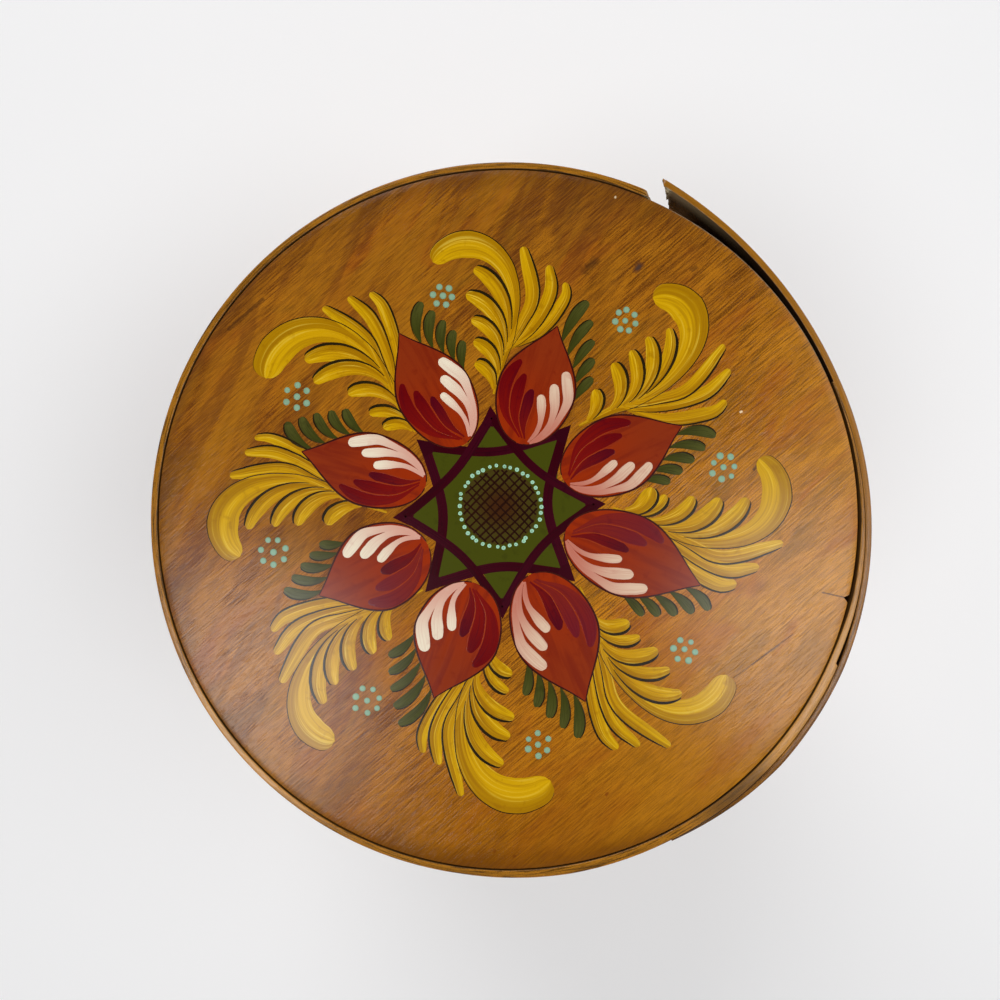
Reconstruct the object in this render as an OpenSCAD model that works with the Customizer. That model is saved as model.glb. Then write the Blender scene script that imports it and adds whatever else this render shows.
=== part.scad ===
// A coopered firkin: a staved bucket with bent wooden hoops, a swinging bail
// on wooden pegs and a lift-off lid whose bent hoop has sprung and broken.
// Millimetres, +Z up, origin on the floor at the centre of the foot.
// The pegs lie along X, and the bail hangs lowered on the -Y side.

/* [Body] */
// Height of the staved wall
stave_h = 275; // [250:1:300]
// Outside radius of the wall at the foot
foot_r = 152; // [148:0.5:158]
// Outside radius of the wall at the mouth
mouth_r = 135; // [131:0.5:139]
// Thickness of a stave
stave_t = 11; // [10:0.5:14]
// Height of the croze groove above the floor
croze_z = 14; // [10:1:20]
// Thickness of the bottom boards
bottom_t = 10; // [9:0.5:14]

/* [Hoops] */
// Thickness of the bent hoops round the wall
hoop_t = 4; // [3:0.25:4.5]
// Width of the hoop round the foot
base_hoop_w = 32; // [24:1:36]
// Width of the hoop round the middle
middle_hoop_w = 26; // [20:1:30]
// Width of the hoop that the pegs pass through
upper_hoop_w = 28; // [26:1:30]
// How far a hoop's ends lap, in degrees
hoop_lap = 46; // [40:1:60]

/* [Bail] */
// Width of the bail's band
bail_w = 20; // [16:1:22]
// Thickness of the bail's band
bail_t = 6.5; // [5:0.5:8]
// Straight length of a bail leg below the arch
bail_leg = 30; // [28:1:40]
// Angle of the lowered bail below level
bail_rest = 30; // [24:0.5:30]
// Radius of the pegs that the bail turns on
peg_r = 5; // [4:0.25:6]

/* [Lid] */
// Radius of the lid's board
lid_r = 136.35; // [135.5:0.05:136.5]
// Thickness of the lid's board
lid_t = 12; // [10:0.5:16]
// Depth of the lid's bent hoop
lid_skirt = 36; // [30:1:36]
// Thickness of the lid's bent hoop
lid_hoop_t = 2.4; // [2:0.1:2.6]
// How far the broken end of the lid's hoop has sprung out
spring_out = 5.7; // [2:0.1:7]

/* [Hidden] */
$fn = 96;
honey = [0.66, 0.43, 0.17];
amber = [0.60, 0.37, 0.13];
walnut = [0.40, 0.24, 0.10];
iron = [0.22, 0.21, 0.20];
stave_count = 16;
stave_vary = 0.25;
uneven = 137;
wall_slope = (foot_r - mouth_r) / stave_h;
edge_ease = 1;
chime = 3;
stave_gap = 0.12;
gap_deg = stave_gap / mouth_r * 180 / PI;

// Tongue and groove along the edges of the staves
tongue_t = 3;
tongue_l = 2;
tongue_play = 0.2;
tongue_in = 5;
tongue_root = 0.5;
tongue_deg = tongue_l / mouth_r * 180 / PI;
groove_deg = (tongue_l + tongue_play) / mouth_r * 180 / PI;

// Groove for the bottom, and the rim of the bottom that sits in it
croze_w = 8;
croze_d = 4;
rim_t = 7.6;
rim_play = 0.6;
board_gap = 0.12;
board_split = foot_r / 3;

// Hoops round the wall
hoop_seat = 0.07;
ply_gap = 0.1;
feather = 0.3;
skive_deg = 24;
thin_deg = 14;
thin_share = 0.35;
hoop_step = 3;
tongue_end = 0.45;
base_hoop_z = 5;
middle_hoop_z = 0.41 * stave_h;
lid_gap_z = 4;
upper_hoop_z = stave_h + lid_t - lid_skirt - lid_gap_z - upper_hoop_w;
base_lap_at = 90;
middle_lap_at = 222;
upper_lap_at = 132;

// Tacks in the laps, as [degrees before the outer end, share of the width]
tack_head_r = 3;
tack_head_h = 0.9;
tack_shank_r = 0.9;
tack_sink = 0.1;
tack_depth = 0.8;
dome_share = 0.7;
lap_tacks = [[4, 0.5], [15, 0.28], [15, 0.72], [28, 0.25], [28, 0.75]];

// Bail, pegs and the pins that lock the pegs inside
peg_z = upper_hoop_z + upper_hoop_w / 2;
peg_fit = 0.02;
eye_fit = 0.05;
bail_ease = 2;
eye_r = bail_w / 2 + 1;
hoop_face = foot_r - wall_slope * (peg_z - eye_r) + hoop_seat + hoop_t;
pad_play = 0.7;
pad_t = 4.5;
pad_x = hoop_face + pad_play;
bail_in = pad_x + pad_t;
bail_out = bail_in + bail_t;
peg_head_r = 10;
peg_head_h = 4;
peg_head_play = 0.3;
peg_tail = 8;
peg_inner = mouth_r - stave_t - peg_tail;
lock_x = peg_inner + 5;
lock_r = 1.5;
lock_l = 22;

// Lid: angles run the way the hoop was bent, from its break round to its inner end
lid_seat = 0.05;
lid_z = stave_h + lid_seat;
lid_top = lid_z + lid_t;
lid_proud = 0.6;
lid_shrink = 0.9;
lid_hoop_in = lid_r + lid_shrink;
skirt_z = lid_top + lid_proud - lid_skirt;
lid_step = 2.5;
main_from = 61.2;
main_whole = 67.2;
swell_from = 262;
swell_mid = 280;
swell_full = 311;
swell_mid_t = 3.3;
swell_full_t = 3.7;
notch_at = 336;
notch_t = 2.75;
inner_end = 383;
lap_from = 297;
lap_full = 318;
lap_t = 2.5;
lap_gap = 0.12;
lap_rest = 0.85;
lap_rest_r = lid_hoop_in + lap_rest;
spring_from = 385;
lap_whole = 419;
lap_to = 425;
splinters = 5;
splinter_z = 3.5;
chip_at = 346.9;
chip_w = 3.4;
chip_d = 2.2;

// Brads through the lid's hoop into the edge of the board
brad_count = 13;
brad_first = 19;
brad_r = 0.7;
brad_head_r = 1.3;
brad_in = 10;
brad_z = lid_z + lid_t / 2;
loose_brad_at = 59;
loose_brad_out = 1.8;
lap_tack_angles = [306, 324, 343];
lap_tack_rows = [0.25, 0.6];
lap_tack_l = 4;

function stave_name(i) = str("stave_", i < 10 ? "0" : "", i);

function wall_r(z) = foot_r - wall_slope * z;
function inner_r(z) = wall_r(z) - stave_t;

// Staves are of unequal width, and each has the same width as the one opposite
function stave_share(i) = 1 + stave_vary * sin(uneven * (i % (stave_count / 2)));
function shares_before(i) = i <= 1 ? 0 : stave_share(i - 1) + shares_before(i - 1);
function stave_deg(i) = 360 * stave_share(i) / shares_before(stave_count + 1);
function stave_from(i) = 360 * shares_before(i) / shares_before(stave_count + 1) - stave_deg(1) / 2;

// Cross-section of a stave, with the croze groove and the bevelled chime
module stave_section() {
    croze_top = croze_z + croze_w;
    groove_r = inner_r(croze_top) + croze_d;
    polygon([
        [inner_r(0) + chime, 0],
        [wall_r(0) - edge_ease, 0],
        [wall_r(edge_ease), edge_ease],
        [wall_r(stave_h - edge_ease), stave_h - edge_ease],
        [mouth_r - edge_ease, stave_h],
        [inner_r(stave_h) + edge_ease, stave_h],
        [inner_r(stave_h - edge_ease), stave_h - edge_ease],
        [inner_r(croze_top), croze_top],
        [groove_r, croze_top],
        [groove_r, croze_z],
        [inner_r(croze_z), croze_z],
        [inner_r(chime), chime]
    ]);
}

// Cross-section of the tongue, or of the groove when it has play
module tongue_section(play) {
    half_t = tongue_t / 2 + play;
    polygon([
        [wall_r(0) - tongue_in - half_t, 0],
        [wall_r(0) - tongue_in + half_t, 0],
        [mouth_r - tongue_in + half_t, stave_h],
        [mouth_r - tongue_in - half_t, stave_h]
    ]);
}

module wedge(from, to) {
    rotate([0, 0, from])
        rotate_extrude(angle = to - from)
            children();
}

// One stave: a tongue on its far edge fits the groove in the next one's near edge
module stave(i) {
    from = stave_from(i) + gap_deg / 2;
    to = from + stave_deg(i) - gap_deg;
    carries_peg = i % (stave_count / 2) == 1;
    color(i % 2 == 0 ? honey : amber)
        difference() {
            union() {
                wedge(from, to)
                    stave_section();
                wedge(to - tongue_root, to + tongue_deg)
                    tongue_section(0);
            }
            wedge(from - tongue_root, from + groove_deg)
                tongue_section(tongue_play);
            if (carries_peg)
                peg_bore(peg_r + peg_fit);
        }
}

module peg_bore(r) {
    translate([0, 0, peg_z])
        rotate([0, 90, 0])
            cylinder(r = r, h = 4 * foot_r, center = true);
}

// The bottom is a disc with a rebated rim, sawn from three boards
module bottom_disc() {
    rim_r = inner_r(croze_z + croze_w) + croze_d - rim_play;
    disc_r = inner_r(croze_z + bottom_t) - rim_play;
    rotate_extrude()
        polygon([
            [0, croze_z],
            [rim_r - edge_ease, croze_z],
            [rim_r, croze_z + edge_ease],
            [rim_r, croze_z + rim_t],
            [disc_r, croze_z + rim_t],
            [disc_r - edge_ease, croze_z + bottom_t],
            [0, croze_z + bottom_t]
        ]);
}

module bottom_board(from_x, to_x) {
    color(honey)
        intersection() {
            bottom_disc();
            translate([from_x, -foot_r, 0])
                cube([to_x - from_x, 2 * foot_r, stave_h]);
        }
}

module bottom_board_left() {
    bottom_board(-foot_r, -board_split - board_gap / 2);
}

module bottom_board_middle() {
    bottom_board(-board_split + board_gap / 2, board_split - board_gap / 2);
}

module bottom_board_right() {
    bottom_board(board_split + board_gap / 2, foot_r);
}

// A station of a bent strip is [degrees, inner radius low, inner radius high, thickness, low z, high z]
function strip_ring(s) =
    let (low = s[1], high = s[2], t = s[3])
    [for (p = [[low, s[4]], [low + t, s[4]], [high + t, s[5]], [high, s[5]]])
        [p[0] * cos(s[0]), p[0] * sin(s[0]), p[1]]];

// A strip of wood bent through a row of stations, square at both ends
module bent_strip(stations) {
    last = len(stations) - 1;
    points = [for (s = stations) each strip_ring(s)];
    sides = [
        for (i = [0:last - 1], j = [0:3])
            let (a = 4 * i + j, b = 4 * i + (j + 1) % 4)
            each [[a, b, b + 4], [a, b + 4, a + 4]]
    ];
    e = 4 * last;
    ends = [[0, 2, 1], [0, 3, 2], [e, e + 1, e + 2], [e, e + 2, e + 3]];
    polyhedron(points = points, faces = concat(sides, ends), convexity = 10);
}

// Thickness of a wall hoop: skived thin at its inner end, thinned at its outer one
function hoop_thick(u) =
    let (left = 360 + hoop_lap - u)
    max(feather, hoop_t * min(1, u / skive_deg, thin_share + (1 - thin_share) * left / thin_deg));

// How far a wall hoop stands off the wall where it climbs over its own inner end
function hoop_lift(u) = u < 360 ? 0 : hoop_thick(u - 360) + ply_gap;

function hoop_outside(u, z) = wall_r(z) + hoop_seat + hoop_lift(u) + hoop_thick(u);

// The outer end narrows to a tongue over the last part of the lap
function hoop_width(u, w) =
    let (left = 360 + hoop_lap - u, run = hoop_lap / 2)
    left > run ? w : w * (tongue_end + (1 - tongue_end) * left / run);

function hoop_station(u, lap_at, z, w) =
    let (
        half = hoop_width(u, w) / 2,
        mid = z + w / 2,
        off = hoop_seat + hoop_lift(u)
    )
    [
        u + lap_at - hoop_lap / 2,
        wall_r(mid - half) + off,
        wall_r(mid + half) + off,
        hoop_thick(u),
        mid - half,
        mid + half
    ];

module wall_hoop(lap_at, z, w) {
    bent_strip([
        for (u = [0:hoop_step:360 + hoop_lap])
            hoop_station(u, lap_at, z, w)
    ]);
}

module tack(head_r, head_h, shank_r, shank_l) {
    rotate_extrude()
        polygon([
            [0, -shank_l],
            [shank_r, shank_r - shank_l],
            [shank_r, 0],
            [head_r, 0],
            [dome_share * head_r, dome_share * head_h],
            [0, head_h]
        ]);
}

module drive(angle, r, z) {
    rotate([0, 0, angle])
        translate([r, 0, z])
            rotate([0, 90, 0])
                children();
}

// Tacks through the lap of one wall hoop
module hoop_tacks(lap_at, z, w) {
    for (t = lap_tacks) {
        u = 360 + hoop_lap - t[0];
        at_z = z + w * t[1];
        shank_l = tack_depth * (hoop_lift(u) + hoop_thick(u));
        color(iron)
            drive(u + lap_at - hoop_lap / 2, hoop_outside(u, at_z) - tack_sink, at_z)
                tack(tack_head_r, tack_head_h, tack_shank_r, shank_l);
    }
}

module base_hoop() {
    color(honey)
        wall_hoop(base_lap_at, base_hoop_z, base_hoop_w);
}

module middle_hoop() {
    color(honey)
        wall_hoop(middle_lap_at, middle_hoop_z, middle_hoop_w);
}

module upper_hoop() {
    color(honey)
        difference() {
            wall_hoop(upper_lap_at, upper_hoop_z, upper_hoop_w);
            peg_bore(peg_r + peg_fit);
        }
}

module base_hoop_tacks() {
    hoop_tacks(base_lap_at, base_hoop_z, base_hoop_w);
}

module middle_hoop_tacks() {
    hoop_tacks(middle_lap_at, middle_hoop_z, middle_hoop_w);
}

module upper_hoop_tacks() {
    hoop_tacks(upper_lap_at, upper_hoop_z, upper_hoop_w);
}

// Flat bar section with rounded arrises, centred
module bar_section(t, w, ease) {
    square([t - 2 * ease, w], center = true);
    square([t, w - 2 * ease], center = true);
    for (x = [-1, 1], y = [-1, 1])
        translate([x * (t / 2 - ease), y * (w / 2 - ease)])
            circle(r = ease);
}

// One leg of the bail at +X: band, thickened pad and rounded eye
module bail_side() {
    pad_w = bail_w - 2 * bail_ease;
    translate([bail_in + bail_t / 2, 0, 0])
        rotate([-90, 0, 0])
            linear_extrude(bail_leg)
                bar_section(bail_t, bail_w, bail_ease);
    translate([0, 0, -pad_w / 2])
        linear_extrude(pad_w)
            polygon([
                [pad_x, 0],
                [pad_x, eye_r],
                [bail_in, bail_leg],
                [bail_in + bail_t / 2, bail_leg],
                [bail_in + bail_t / 2, 0]
            ]);
    translate([pad_x, 0, 0])
        rotate([0, 90, 0])
            rotate_extrude()
                polygon([
                    [0, 0],
                    [eye_r - edge_ease, 0],
                    [eye_r, edge_ease],
                    [eye_r, bail_out - pad_x - edge_ease],
                    [eye_r - edge_ease, bail_out - pad_x],
                    [0, bail_out - pad_x]
                ]);
}

// The bail is bent from one bar and turns about the pegs
module bail() {
    color(amber)
        translate([0, 0, peg_z])
            rotate([180 + bail_rest, 0, 0])
                difference() {
                    union() {
                        translate([0, bail_leg, 0])
                            rotate_extrude(angle = 180)
                                translate([bail_in + bail_t / 2, 0])
                                    bar_section(bail_t, bail_w, bail_ease);
                        bail_side();
                        mirror([1, 0, 0])
                            bail_side();
                    }
                    rotate([0, 90, 0])
                        cylinder(r = peg_r + eye_fit, h = 4 * foot_r, center = true);
                }
}

// A turned peg at +X: domed head outside, shank through eye, hoop and stave
module peg() {
    head_x = bail_out + peg_head_play;
    dome_r = (peg_head_r * peg_head_r + peg_head_h * peg_head_h) / (2 * peg_head_h);
    difference() {
        translate([0, 0, peg_z])
            rotate([0, 90, 0])
                union() {
                    translate([0, 0, peg_inner])
                        cylinder(r = peg_r, h = head_x + 1 - peg_inner);
                    translate([0, 0, head_x])
                        intersection() {
                            cylinder(r = peg_head_r - edge_ease / 2, h = peg_head_h);
                            translate([0, 0, peg_head_h - dome_r])
                                sphere(r = dome_r);
                        }
                }
        translate([lock_x, 0, peg_z])
            cylinder(r = lock_r, h = 4 * peg_r, center = true);
    }
}

module bail_peg_right() {
    color(walnut)
        peg();
}

module bail_peg_left() {
    color(walnut)
        mirror([1, 0, 0])
            peg();
}

module peg_lock_pins() {
    for (side = [-1, 1])
        color(honey)
            translate([side * lock_x, 0, peg_z - lock_l / 2])
                cylinder(r = lock_r - peg_fit, h = lock_l);
}

// The lid's board, with an eased top edge and one chip out of it
module lid_board() {
    color(honey)
        difference() {
            rotate_extrude()
                polygon([
                    [0, lid_z],
                    [lid_r, lid_z],
                    [lid_r, lid_top - edge_ease],
                    [lid_r - edge_ease / 2, lid_top],
                    [0, lid_top]
                ]);
            rotate([0, 0, chip_at])
                translate([lid_r - chip_d, 0, lid_top - lid_t / 2])
                    linear_extrude(lid_t)
                        polygon([[0, 0], [2 * chip_d, -chip_w], [2 * chip_d, chip_w]]);
        }
}

// Thickness of the lid's hoop: it swells towards its lap, is notched, then skived to its inner end
function lid_thick(a) =
    a > notch_at ? feather + (notch_t - feather) * (inner_end - a) / (inner_end - notch_at)
    : lookup(a, [
        [swell_from, lid_hoop_t],
        [swell_mid, swell_mid_t],
        [lap_from, swell_mid_t],
        [swell_full, swell_full_t]
    ]);

// Inner radius of the outer lap: on the hoop, down its skived end, then sprung out to the break
function lap_in(a) =
    a < notch_at ? lid_hoop_in + lid_thick(a) + lap_gap
    : a < inner_end ? lap_in_run(a)
    : lap_rest_r + spring_out * pow(max(0, a - spring_from) / (lap_to - spring_from), 2);

function lap_in_run(a) =
    let (at_notch = lid_hoop_in + swell_full_t + lap_gap)
    at_notch + (lap_rest_r - at_notch) * (a - notch_at) / (inner_end - notch_at);

function lap_thick(a) = feather + (lap_t - feather) * min(1, (a - lap_from) / (lap_full - lap_from));

// Height of the splintered break, part of the way up the hoop at step i of its run
function break_z(i) =
    let (jag = i % splinters == 0 ? 0 : splinter_z * sin(uneven * i))
    skirt_z + lid_skirt * i / splinters + jag;

function main_station(a, high) = [a, lid_hoop_in, lid_hoop_in, lid_thick(a), skirt_z, high];

function lap_station(a, low) = [a, lap_in(a), lap_in(a), lap_thick(a), low, lid_top + lid_proud];

// The lid's hoop from the break round to its skived inner end
module lid_hoop() {
    run = main_whole - main_from;
    color(amber)
        bent_strip(concat(
            [main_station(main_from, skirt_z + edge_ease)],
            [for (i = [1:splinters]) main_station(main_from + run * i / splinters, break_z(i))],
            [for (a = [main_whole + lid_step:lid_step:notch_at]) main_station(a, lid_top + lid_proud)],
            [for (a = [notch_at + feather:lid_step:inner_end]) main_station(a, lid_top + lid_proud)]
        ));
}

// The outer lap of the same hoop, from its feathered end to the sprung break
module lid_hoop_lap() {
    run = lap_to - lap_whole;
    color(amber)
        bent_strip(concat(
            [for (a = [lap_from:lid_step:lap_whole - lid_step / 2]) lap_station(a, skirt_z)],
            [for (i = [0:splinters - 1]) lap_station(lap_whole + run * i / splinters, break_z(i))],
            [lap_station(lap_to, lid_top + lid_proud - edge_ease)]
        ));
}

// Outside of the lid's hoop, lap included, at an angle from 0 to 360
function lid_outside(a) =
    a >= lap_from ? lap_in(a) + lap_thick(a)
    : a < inner_end - 360 ? lap_in(a + 360) + lap_thick(a + 360)
    : a < main_whole ? lid_r + loose_brad_out
    : lid_hoop_in + lid_thick(a);

// Brads into the board's edge; two have stayed in it where the hoop sprung off
module lid_brads() {
    angles = concat([for (i = [0:brad_count - 1]) brad_first + 360 * i / brad_count], [loose_brad_at]);
    for (a = angles)
        color(iron)
            drive(a, lid_outside(a) - tack_sink, brad_z)
                tack(brad_head_r, edge_ease / 2, brad_r, lid_outside(a) - lid_r + brad_in);
}

module lid_lap_tacks() {
    for (a = lap_tack_angles, row = lap_tack_rows)
        color(iron)
            drive(a, lid_outside(a) - tack_sink, skirt_z + lid_skirt * row)
                tack(tack_head_r, tack_head_h, tack_shank_r, lap_tack_l);
}

for (i = [1:stave_count])
    stave(i);
bottom_board_left();
bottom_board_middle();
bottom_board_right();
base_hoop();
middle_hoop();
upper_hoop();
base_hoop_tacks();
middle_hoop_tacks();
upper_hoop_tacks();
bail();
bail_peg_left();
bail_peg_right();
peg_lock_pins();
lid_board();
lid_hoop();
lid_hoop_lap();
lid_brads();
lid_lap_tacks();
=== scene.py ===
"""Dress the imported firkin: staved bucket, swinging bail and painted lid in its sprung hoop.

Sizes in the classes are millimetres in the part's frame; meshes are made in metres.
"""

import logging
import math
from dataclasses import dataclass, field
from enum import Enum
from typing import Any, Callable, Sequence

import bmesh
import bpy
import numpy as np
from mathutils import Euler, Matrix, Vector


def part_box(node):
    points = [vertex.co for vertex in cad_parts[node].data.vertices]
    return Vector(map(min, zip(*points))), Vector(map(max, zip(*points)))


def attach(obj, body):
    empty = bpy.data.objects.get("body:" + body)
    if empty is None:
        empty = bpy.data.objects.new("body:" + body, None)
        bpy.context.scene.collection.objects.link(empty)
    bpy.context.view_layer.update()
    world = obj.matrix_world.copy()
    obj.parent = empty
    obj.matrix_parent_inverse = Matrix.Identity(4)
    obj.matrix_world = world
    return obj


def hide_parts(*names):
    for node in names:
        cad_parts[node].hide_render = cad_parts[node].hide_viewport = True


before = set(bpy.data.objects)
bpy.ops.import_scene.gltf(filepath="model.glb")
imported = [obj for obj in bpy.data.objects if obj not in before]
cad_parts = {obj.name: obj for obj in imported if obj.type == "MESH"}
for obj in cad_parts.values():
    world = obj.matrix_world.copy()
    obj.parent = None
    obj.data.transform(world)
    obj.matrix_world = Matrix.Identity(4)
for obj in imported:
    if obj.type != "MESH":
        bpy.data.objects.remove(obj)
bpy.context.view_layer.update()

log = logging.getLogger("firkin")
MM = 0.001
CREASE = math.radians(40)
GRAIN = "grain"
Colour = tuple[float, float, float, float]
Place = tuple[float, float]
Triple = tuple[float, float, float]
Path = Sequence[Place]
Spot = tuple[Sequence[float], Sequence[float], float]
Key = int | str
Sockets = dict[Key, Any]


def srgb(red: float, green: float, blue: float) -> Colour:
    """Turn a colour as seen on a screen, from 0 to 255, into a linear one."""
    shares = (red / 255, green / 255, blue / 255)
    return (*(s / 12.92 if s <= 0.04045 else ((s + 0.055) / 1.055) ** 2.4 for s in shares), 1.0)


def operator(kind: str, swapped: bool = False) -> Callable[..., "Wire"]:
    """Return a method of a wire that adds a Math node.

    Args:
        kind: Operation of the node.
        swapped: True if the wire is the second value.
    Returns:
        The method.
    """

    def method(self: "Wire", other: Any = 0.0) -> "Wire":
        """Join this wire and another value."""
        first, second = (other, self) if swapped else (self, other)
        return self.graph.node("ShaderNodeMath", {"operation": kind}, {0: first, 1: second})

    return method


class Wire:
    """An output of a node that takes part in arithmetic."""

    __add__, __radd__ = operator("ADD"), operator("ADD", True)
    __sub__, __rsub__ = operator("SUBTRACT"), operator("SUBTRACT", True)
    __mul__, __rmul__ = operator("MULTIPLY"), operator("MULTIPLY", True)
    __truediv__, __rtruediv__ = operator("DIVIDE"), operator("DIVIDE", True)
    __pow__, __abs__, floor = operator("POWER"), operator("ABSOLUTE"), operator("FLOOR")

    def __init__(self, graph: "Graph", node: bpy.types.Node, output: Key) -> None:
        """Start from an output of a node."""
        self.graph, self.node, self.output = graph, node, output

    @property
    def socket(self) -> bpy.types.NodeSocket:
        """The socket that this wire starts from."""
        return self.node.outputs[self.output]

    def other(self, output: Key) -> "Wire":
        """Return another output of the same node."""
        return Wire(self.graph, self.node, output)

    def clip(self, low: float, high: float) -> "Wire":
        """Keep the value between two limits."""
        return self.graph.node("ShaderNodeClamp", None, {0: self, 1: low, 2: high})

    def step(self, low: float, high: float) -> "Wire":
        """Rise smoothly from 0 to 1 between two values, or fall if the second is lower."""
        values = {0: self, 1: min(low, high), 2: max(low, high), 3: float(low > high), 4: float(low <= high)}
        return self.graph.node("ShaderNodeMapRange", {"interpolation_type": "SMOOTHSTEP"}, values)


class Graph:
    """Makes the nodes of one tree."""

    def __init__(self, tree: bpy.types.NodeTree) -> None:
        """Work in a tree."""
        self.tree = tree

    def node(
        self, kind: str, settings: Sockets | None = None, inputs: Sockets | None = None, output: Key = 0
    ) -> Wire:
        """Make a node, set it up, then join or set its inputs.

        Args:
            kind: Type of the node.
            settings: Properties, set before the sockets.
            inputs: Wires or constants by the name or place of the socket.
            output: Which output the wire starts from.
        Returns:
            A wire from the node.
        """
        made = self.tree.nodes.new(kind)
        for key, value in (settings or {}).items():
            setattr(made, key, value)
        for key, value in (inputs or {}).items():
            if isinstance(value, Wire):
                self.tree.links.new(value.socket, made.inputs[key])
            else:
                made.inputs[key].default_value = value
        return Wire(self, made, output)

    def spot(self) -> Wire:
        """Return the place on the piece in metres."""
        return self.node("ShaderNodeTexCoord", None, None, "Object")

    def blend(self, cover: Any, low: Any, high: Any) -> Wire:
        """Mix two colours by the cover of the second."""
        return self.node("ShaderNodeMix", {"data_type": "RGBA"}, {0: cover, 6: low, 7: high}, 2)

    def layers(self, colour: Any, *coats: tuple[Any, Any]) -> Wire:
        """Lay coats over a colour.

        Args:
            colour: The ground.
            coats: Cover and colour of each, from the lowest.
        Returns:
            The colour on top.
        """
        for cover, over in coats:
            colour = self.blend(cover, colour, over)
        return colour

    def stretch(self, vector: Wire, scale: Triple) -> Wire:
        """Scale a vector by a different amount along each axis."""
        return self.node("ShaderNodeVectorMath", {"operation": "MULTIPLY"}, {0: vector, 1: scale})

    def noise(self, vector: Wire, scale: float = 1.0, detail: float = 2.0, swirl: float = 0.0) -> Wire:
        """Return soft noise from 0 to 1."""
        values = {"Vector": vector, "Scale": scale, "Detail": detail, "Distortion": swirl}
        return self.node("ShaderNodeTexNoise", None, values)

    def streak(self, along: Wire, across: Wire, layer: Any, detail: float, swirl: float = 0.0) -> Wire:
        """Return noise over two coordinates, each already stretched, on a layer of its own."""
        return self.noise(self.vector(along, across, layer), 1.0, detail, swirl)

    def bump(self, height: Wire, strength: float, distance: float) -> Wire:
        """Return a normal that is bent by a relief."""
        values = {"Strength": strength, "Distance": distance, "Height": height}
        return self.node("ShaderNodeBump", None, values)

    def vector(self, x: Any, y: Any, z: Any = 0.0) -> Wire:
        """Join three values into a vector."""
        return self.node("ShaderNodeCombineXYZ", None, {0: x, 1: y, 2: z})

    def split(self, vector: Wire) -> tuple[Wire, Wire, Wire]:
        """Return the three parts of a vector."""
        made = self.node("ShaderNodeSeparateXYZ", None, {0: vector})
        return made, made.other(1), made.other(2)


class GrainSpace(Enum):
    """Where a finish reads the run of its grain."""

    STRIP = "own map, u along the piece"
    PLAN = "object, in plan"


@dataclass(frozen=True)
class Finish:
    """A surface that is painted by one material."""

    name: str

    def surface(self, graph: Graph) -> Sockets:
        """Return the inputs of the surface shader by name."""
        raise NotImplementedError

    def material(self) -> bpy.types.Material:
        """Make the material, or return it if it is there."""
        found = bpy.data.materials.get(self.name)
        if found:
            return found
        made = bpy.data.materials.new(self.name)
        made.use_nodes = True
        made.node_tree.nodes.clear()
        graph = Graph(made.node_tree)
        shader = graph.node("ShaderNodeBsdfPrincipled", None, self.surface(graph))
        graph.node("ShaderNodeOutputMaterial", None, {"Surface": shader})
        log.info("finish %s", self.name)
        return made


@dataclass(frozen=True)
class Wood(Finish):
    """Stained and varnished wood with streaks, bands and pores along the grain."""

    pale: Colour
    deep: Colour
    dark: Colour
    space: GrainSpace = GrainSpace.STRIP
    heading: float = 0.0
    gloss: float = 0.14
    relief: float = 0.14
    uneven: float = 0.5
    figure: tuple[tuple[float, float, float, float], ...] = (
        (26, 60, 3.0, 0.6), (11, 120, 2.0, 1.0), (18, 300, 2.0, 0.3),
        (26, 950, 2.0, 0.2), (64, 1700, 2.0, 0.2), (190, 2400, 1.0, 0.0),
    )

    def place(self, graph: Graph) -> Wire:
        """Return coordinates in metres with X along the grain.

        Args:
            graph: Takes the nodes.
        Returns:
            The coordinates.
        """
        if self.space is GrainSpace.STRIP:
            return graph.node("ShaderNodeUVMap", {"uv_map": GRAIN})
        turned = (0.0, 0.0, -math.radians(self.heading))
        return graph.node("ShaderNodeMapping", None, {"Vector": graph.spot(), "Rotation": turned})

    def tint(self, graph: Graph, colour: Wire) -> Wire:
        """Change the plain wood colour for one piece."""
        return colour

    def surface(self, graph: Graph) -> Sockets:
        """Return the inputs of the surface shader.

        Args:
            graph: Takes the nodes.
        Returns:
            Wires and constants by name.
        """
        along, across, deep = graph.split(self.place(graph))
        wave = graph.streak(along * 9.0, across * 26.0, deep, 1.0) * 0.008
        place = graph.vector(along, across + wave, deep)
        patches, bands, ribs, streaks, fine, dots = (
            graph.noise(graph.stretch(place, (length, width, width)), 1.0, detail, swirl)
            for length, width, detail, swirl in self.figure
        )
        pores = dots.step(0.56, 0.7)
        grit = graph.noise(place, 2400.0, 1.0)
        mixed = patches * 0.5 + bands * 0.34 + ribs * 0.16
        if self.space is GrainSpace.STRIP:
            lot = (across + 0.3).floor() + 0.5
            tone = graph.node("ShaderNodeTexWhiteNoise", {"noise_dimensions": "1D"}, {"W": lot})
            mixed = mixed + (tone - 0.5) * self.uneven
        colour = graph.layers(
            graph.blend(mixed.step(0.38, 0.62), self.deep, self.pale),
            (streaks.step(0.54, 0.64) * 0.45, self.dark),
            (streaks.step(0.44, 0.34) * 0.3, self.pale),
            (fine.step(0.51, 0.62) * 0.8, self.dark),
            (fine.step(0.47, 0.36) * 0.7, self.pale),
            (pores * 0.6, self.dark),
            (grit.step(0.5, 0.72) * 0.6, self.dark),
            (grit.step(0.5, 0.28) * 0.5, self.pale),
        )
        return {
            "Base Color": self.tint(graph, colour),
            "Roughness": streaks * 0.1 + self.gloss,
            "Specular IOR Level": 0.3,
            "Normal": graph.bump(fine * -0.6 + pores * -0.4, self.relief, 0.0006),
        }


@dataclass(frozen=True)
class Blot:
    """A knot, scratch or stain on the board: a soft dash in plan, in millimetres."""

    start: Place
    end: Place
    half: float
    share: float
    colour: Colour


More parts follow.
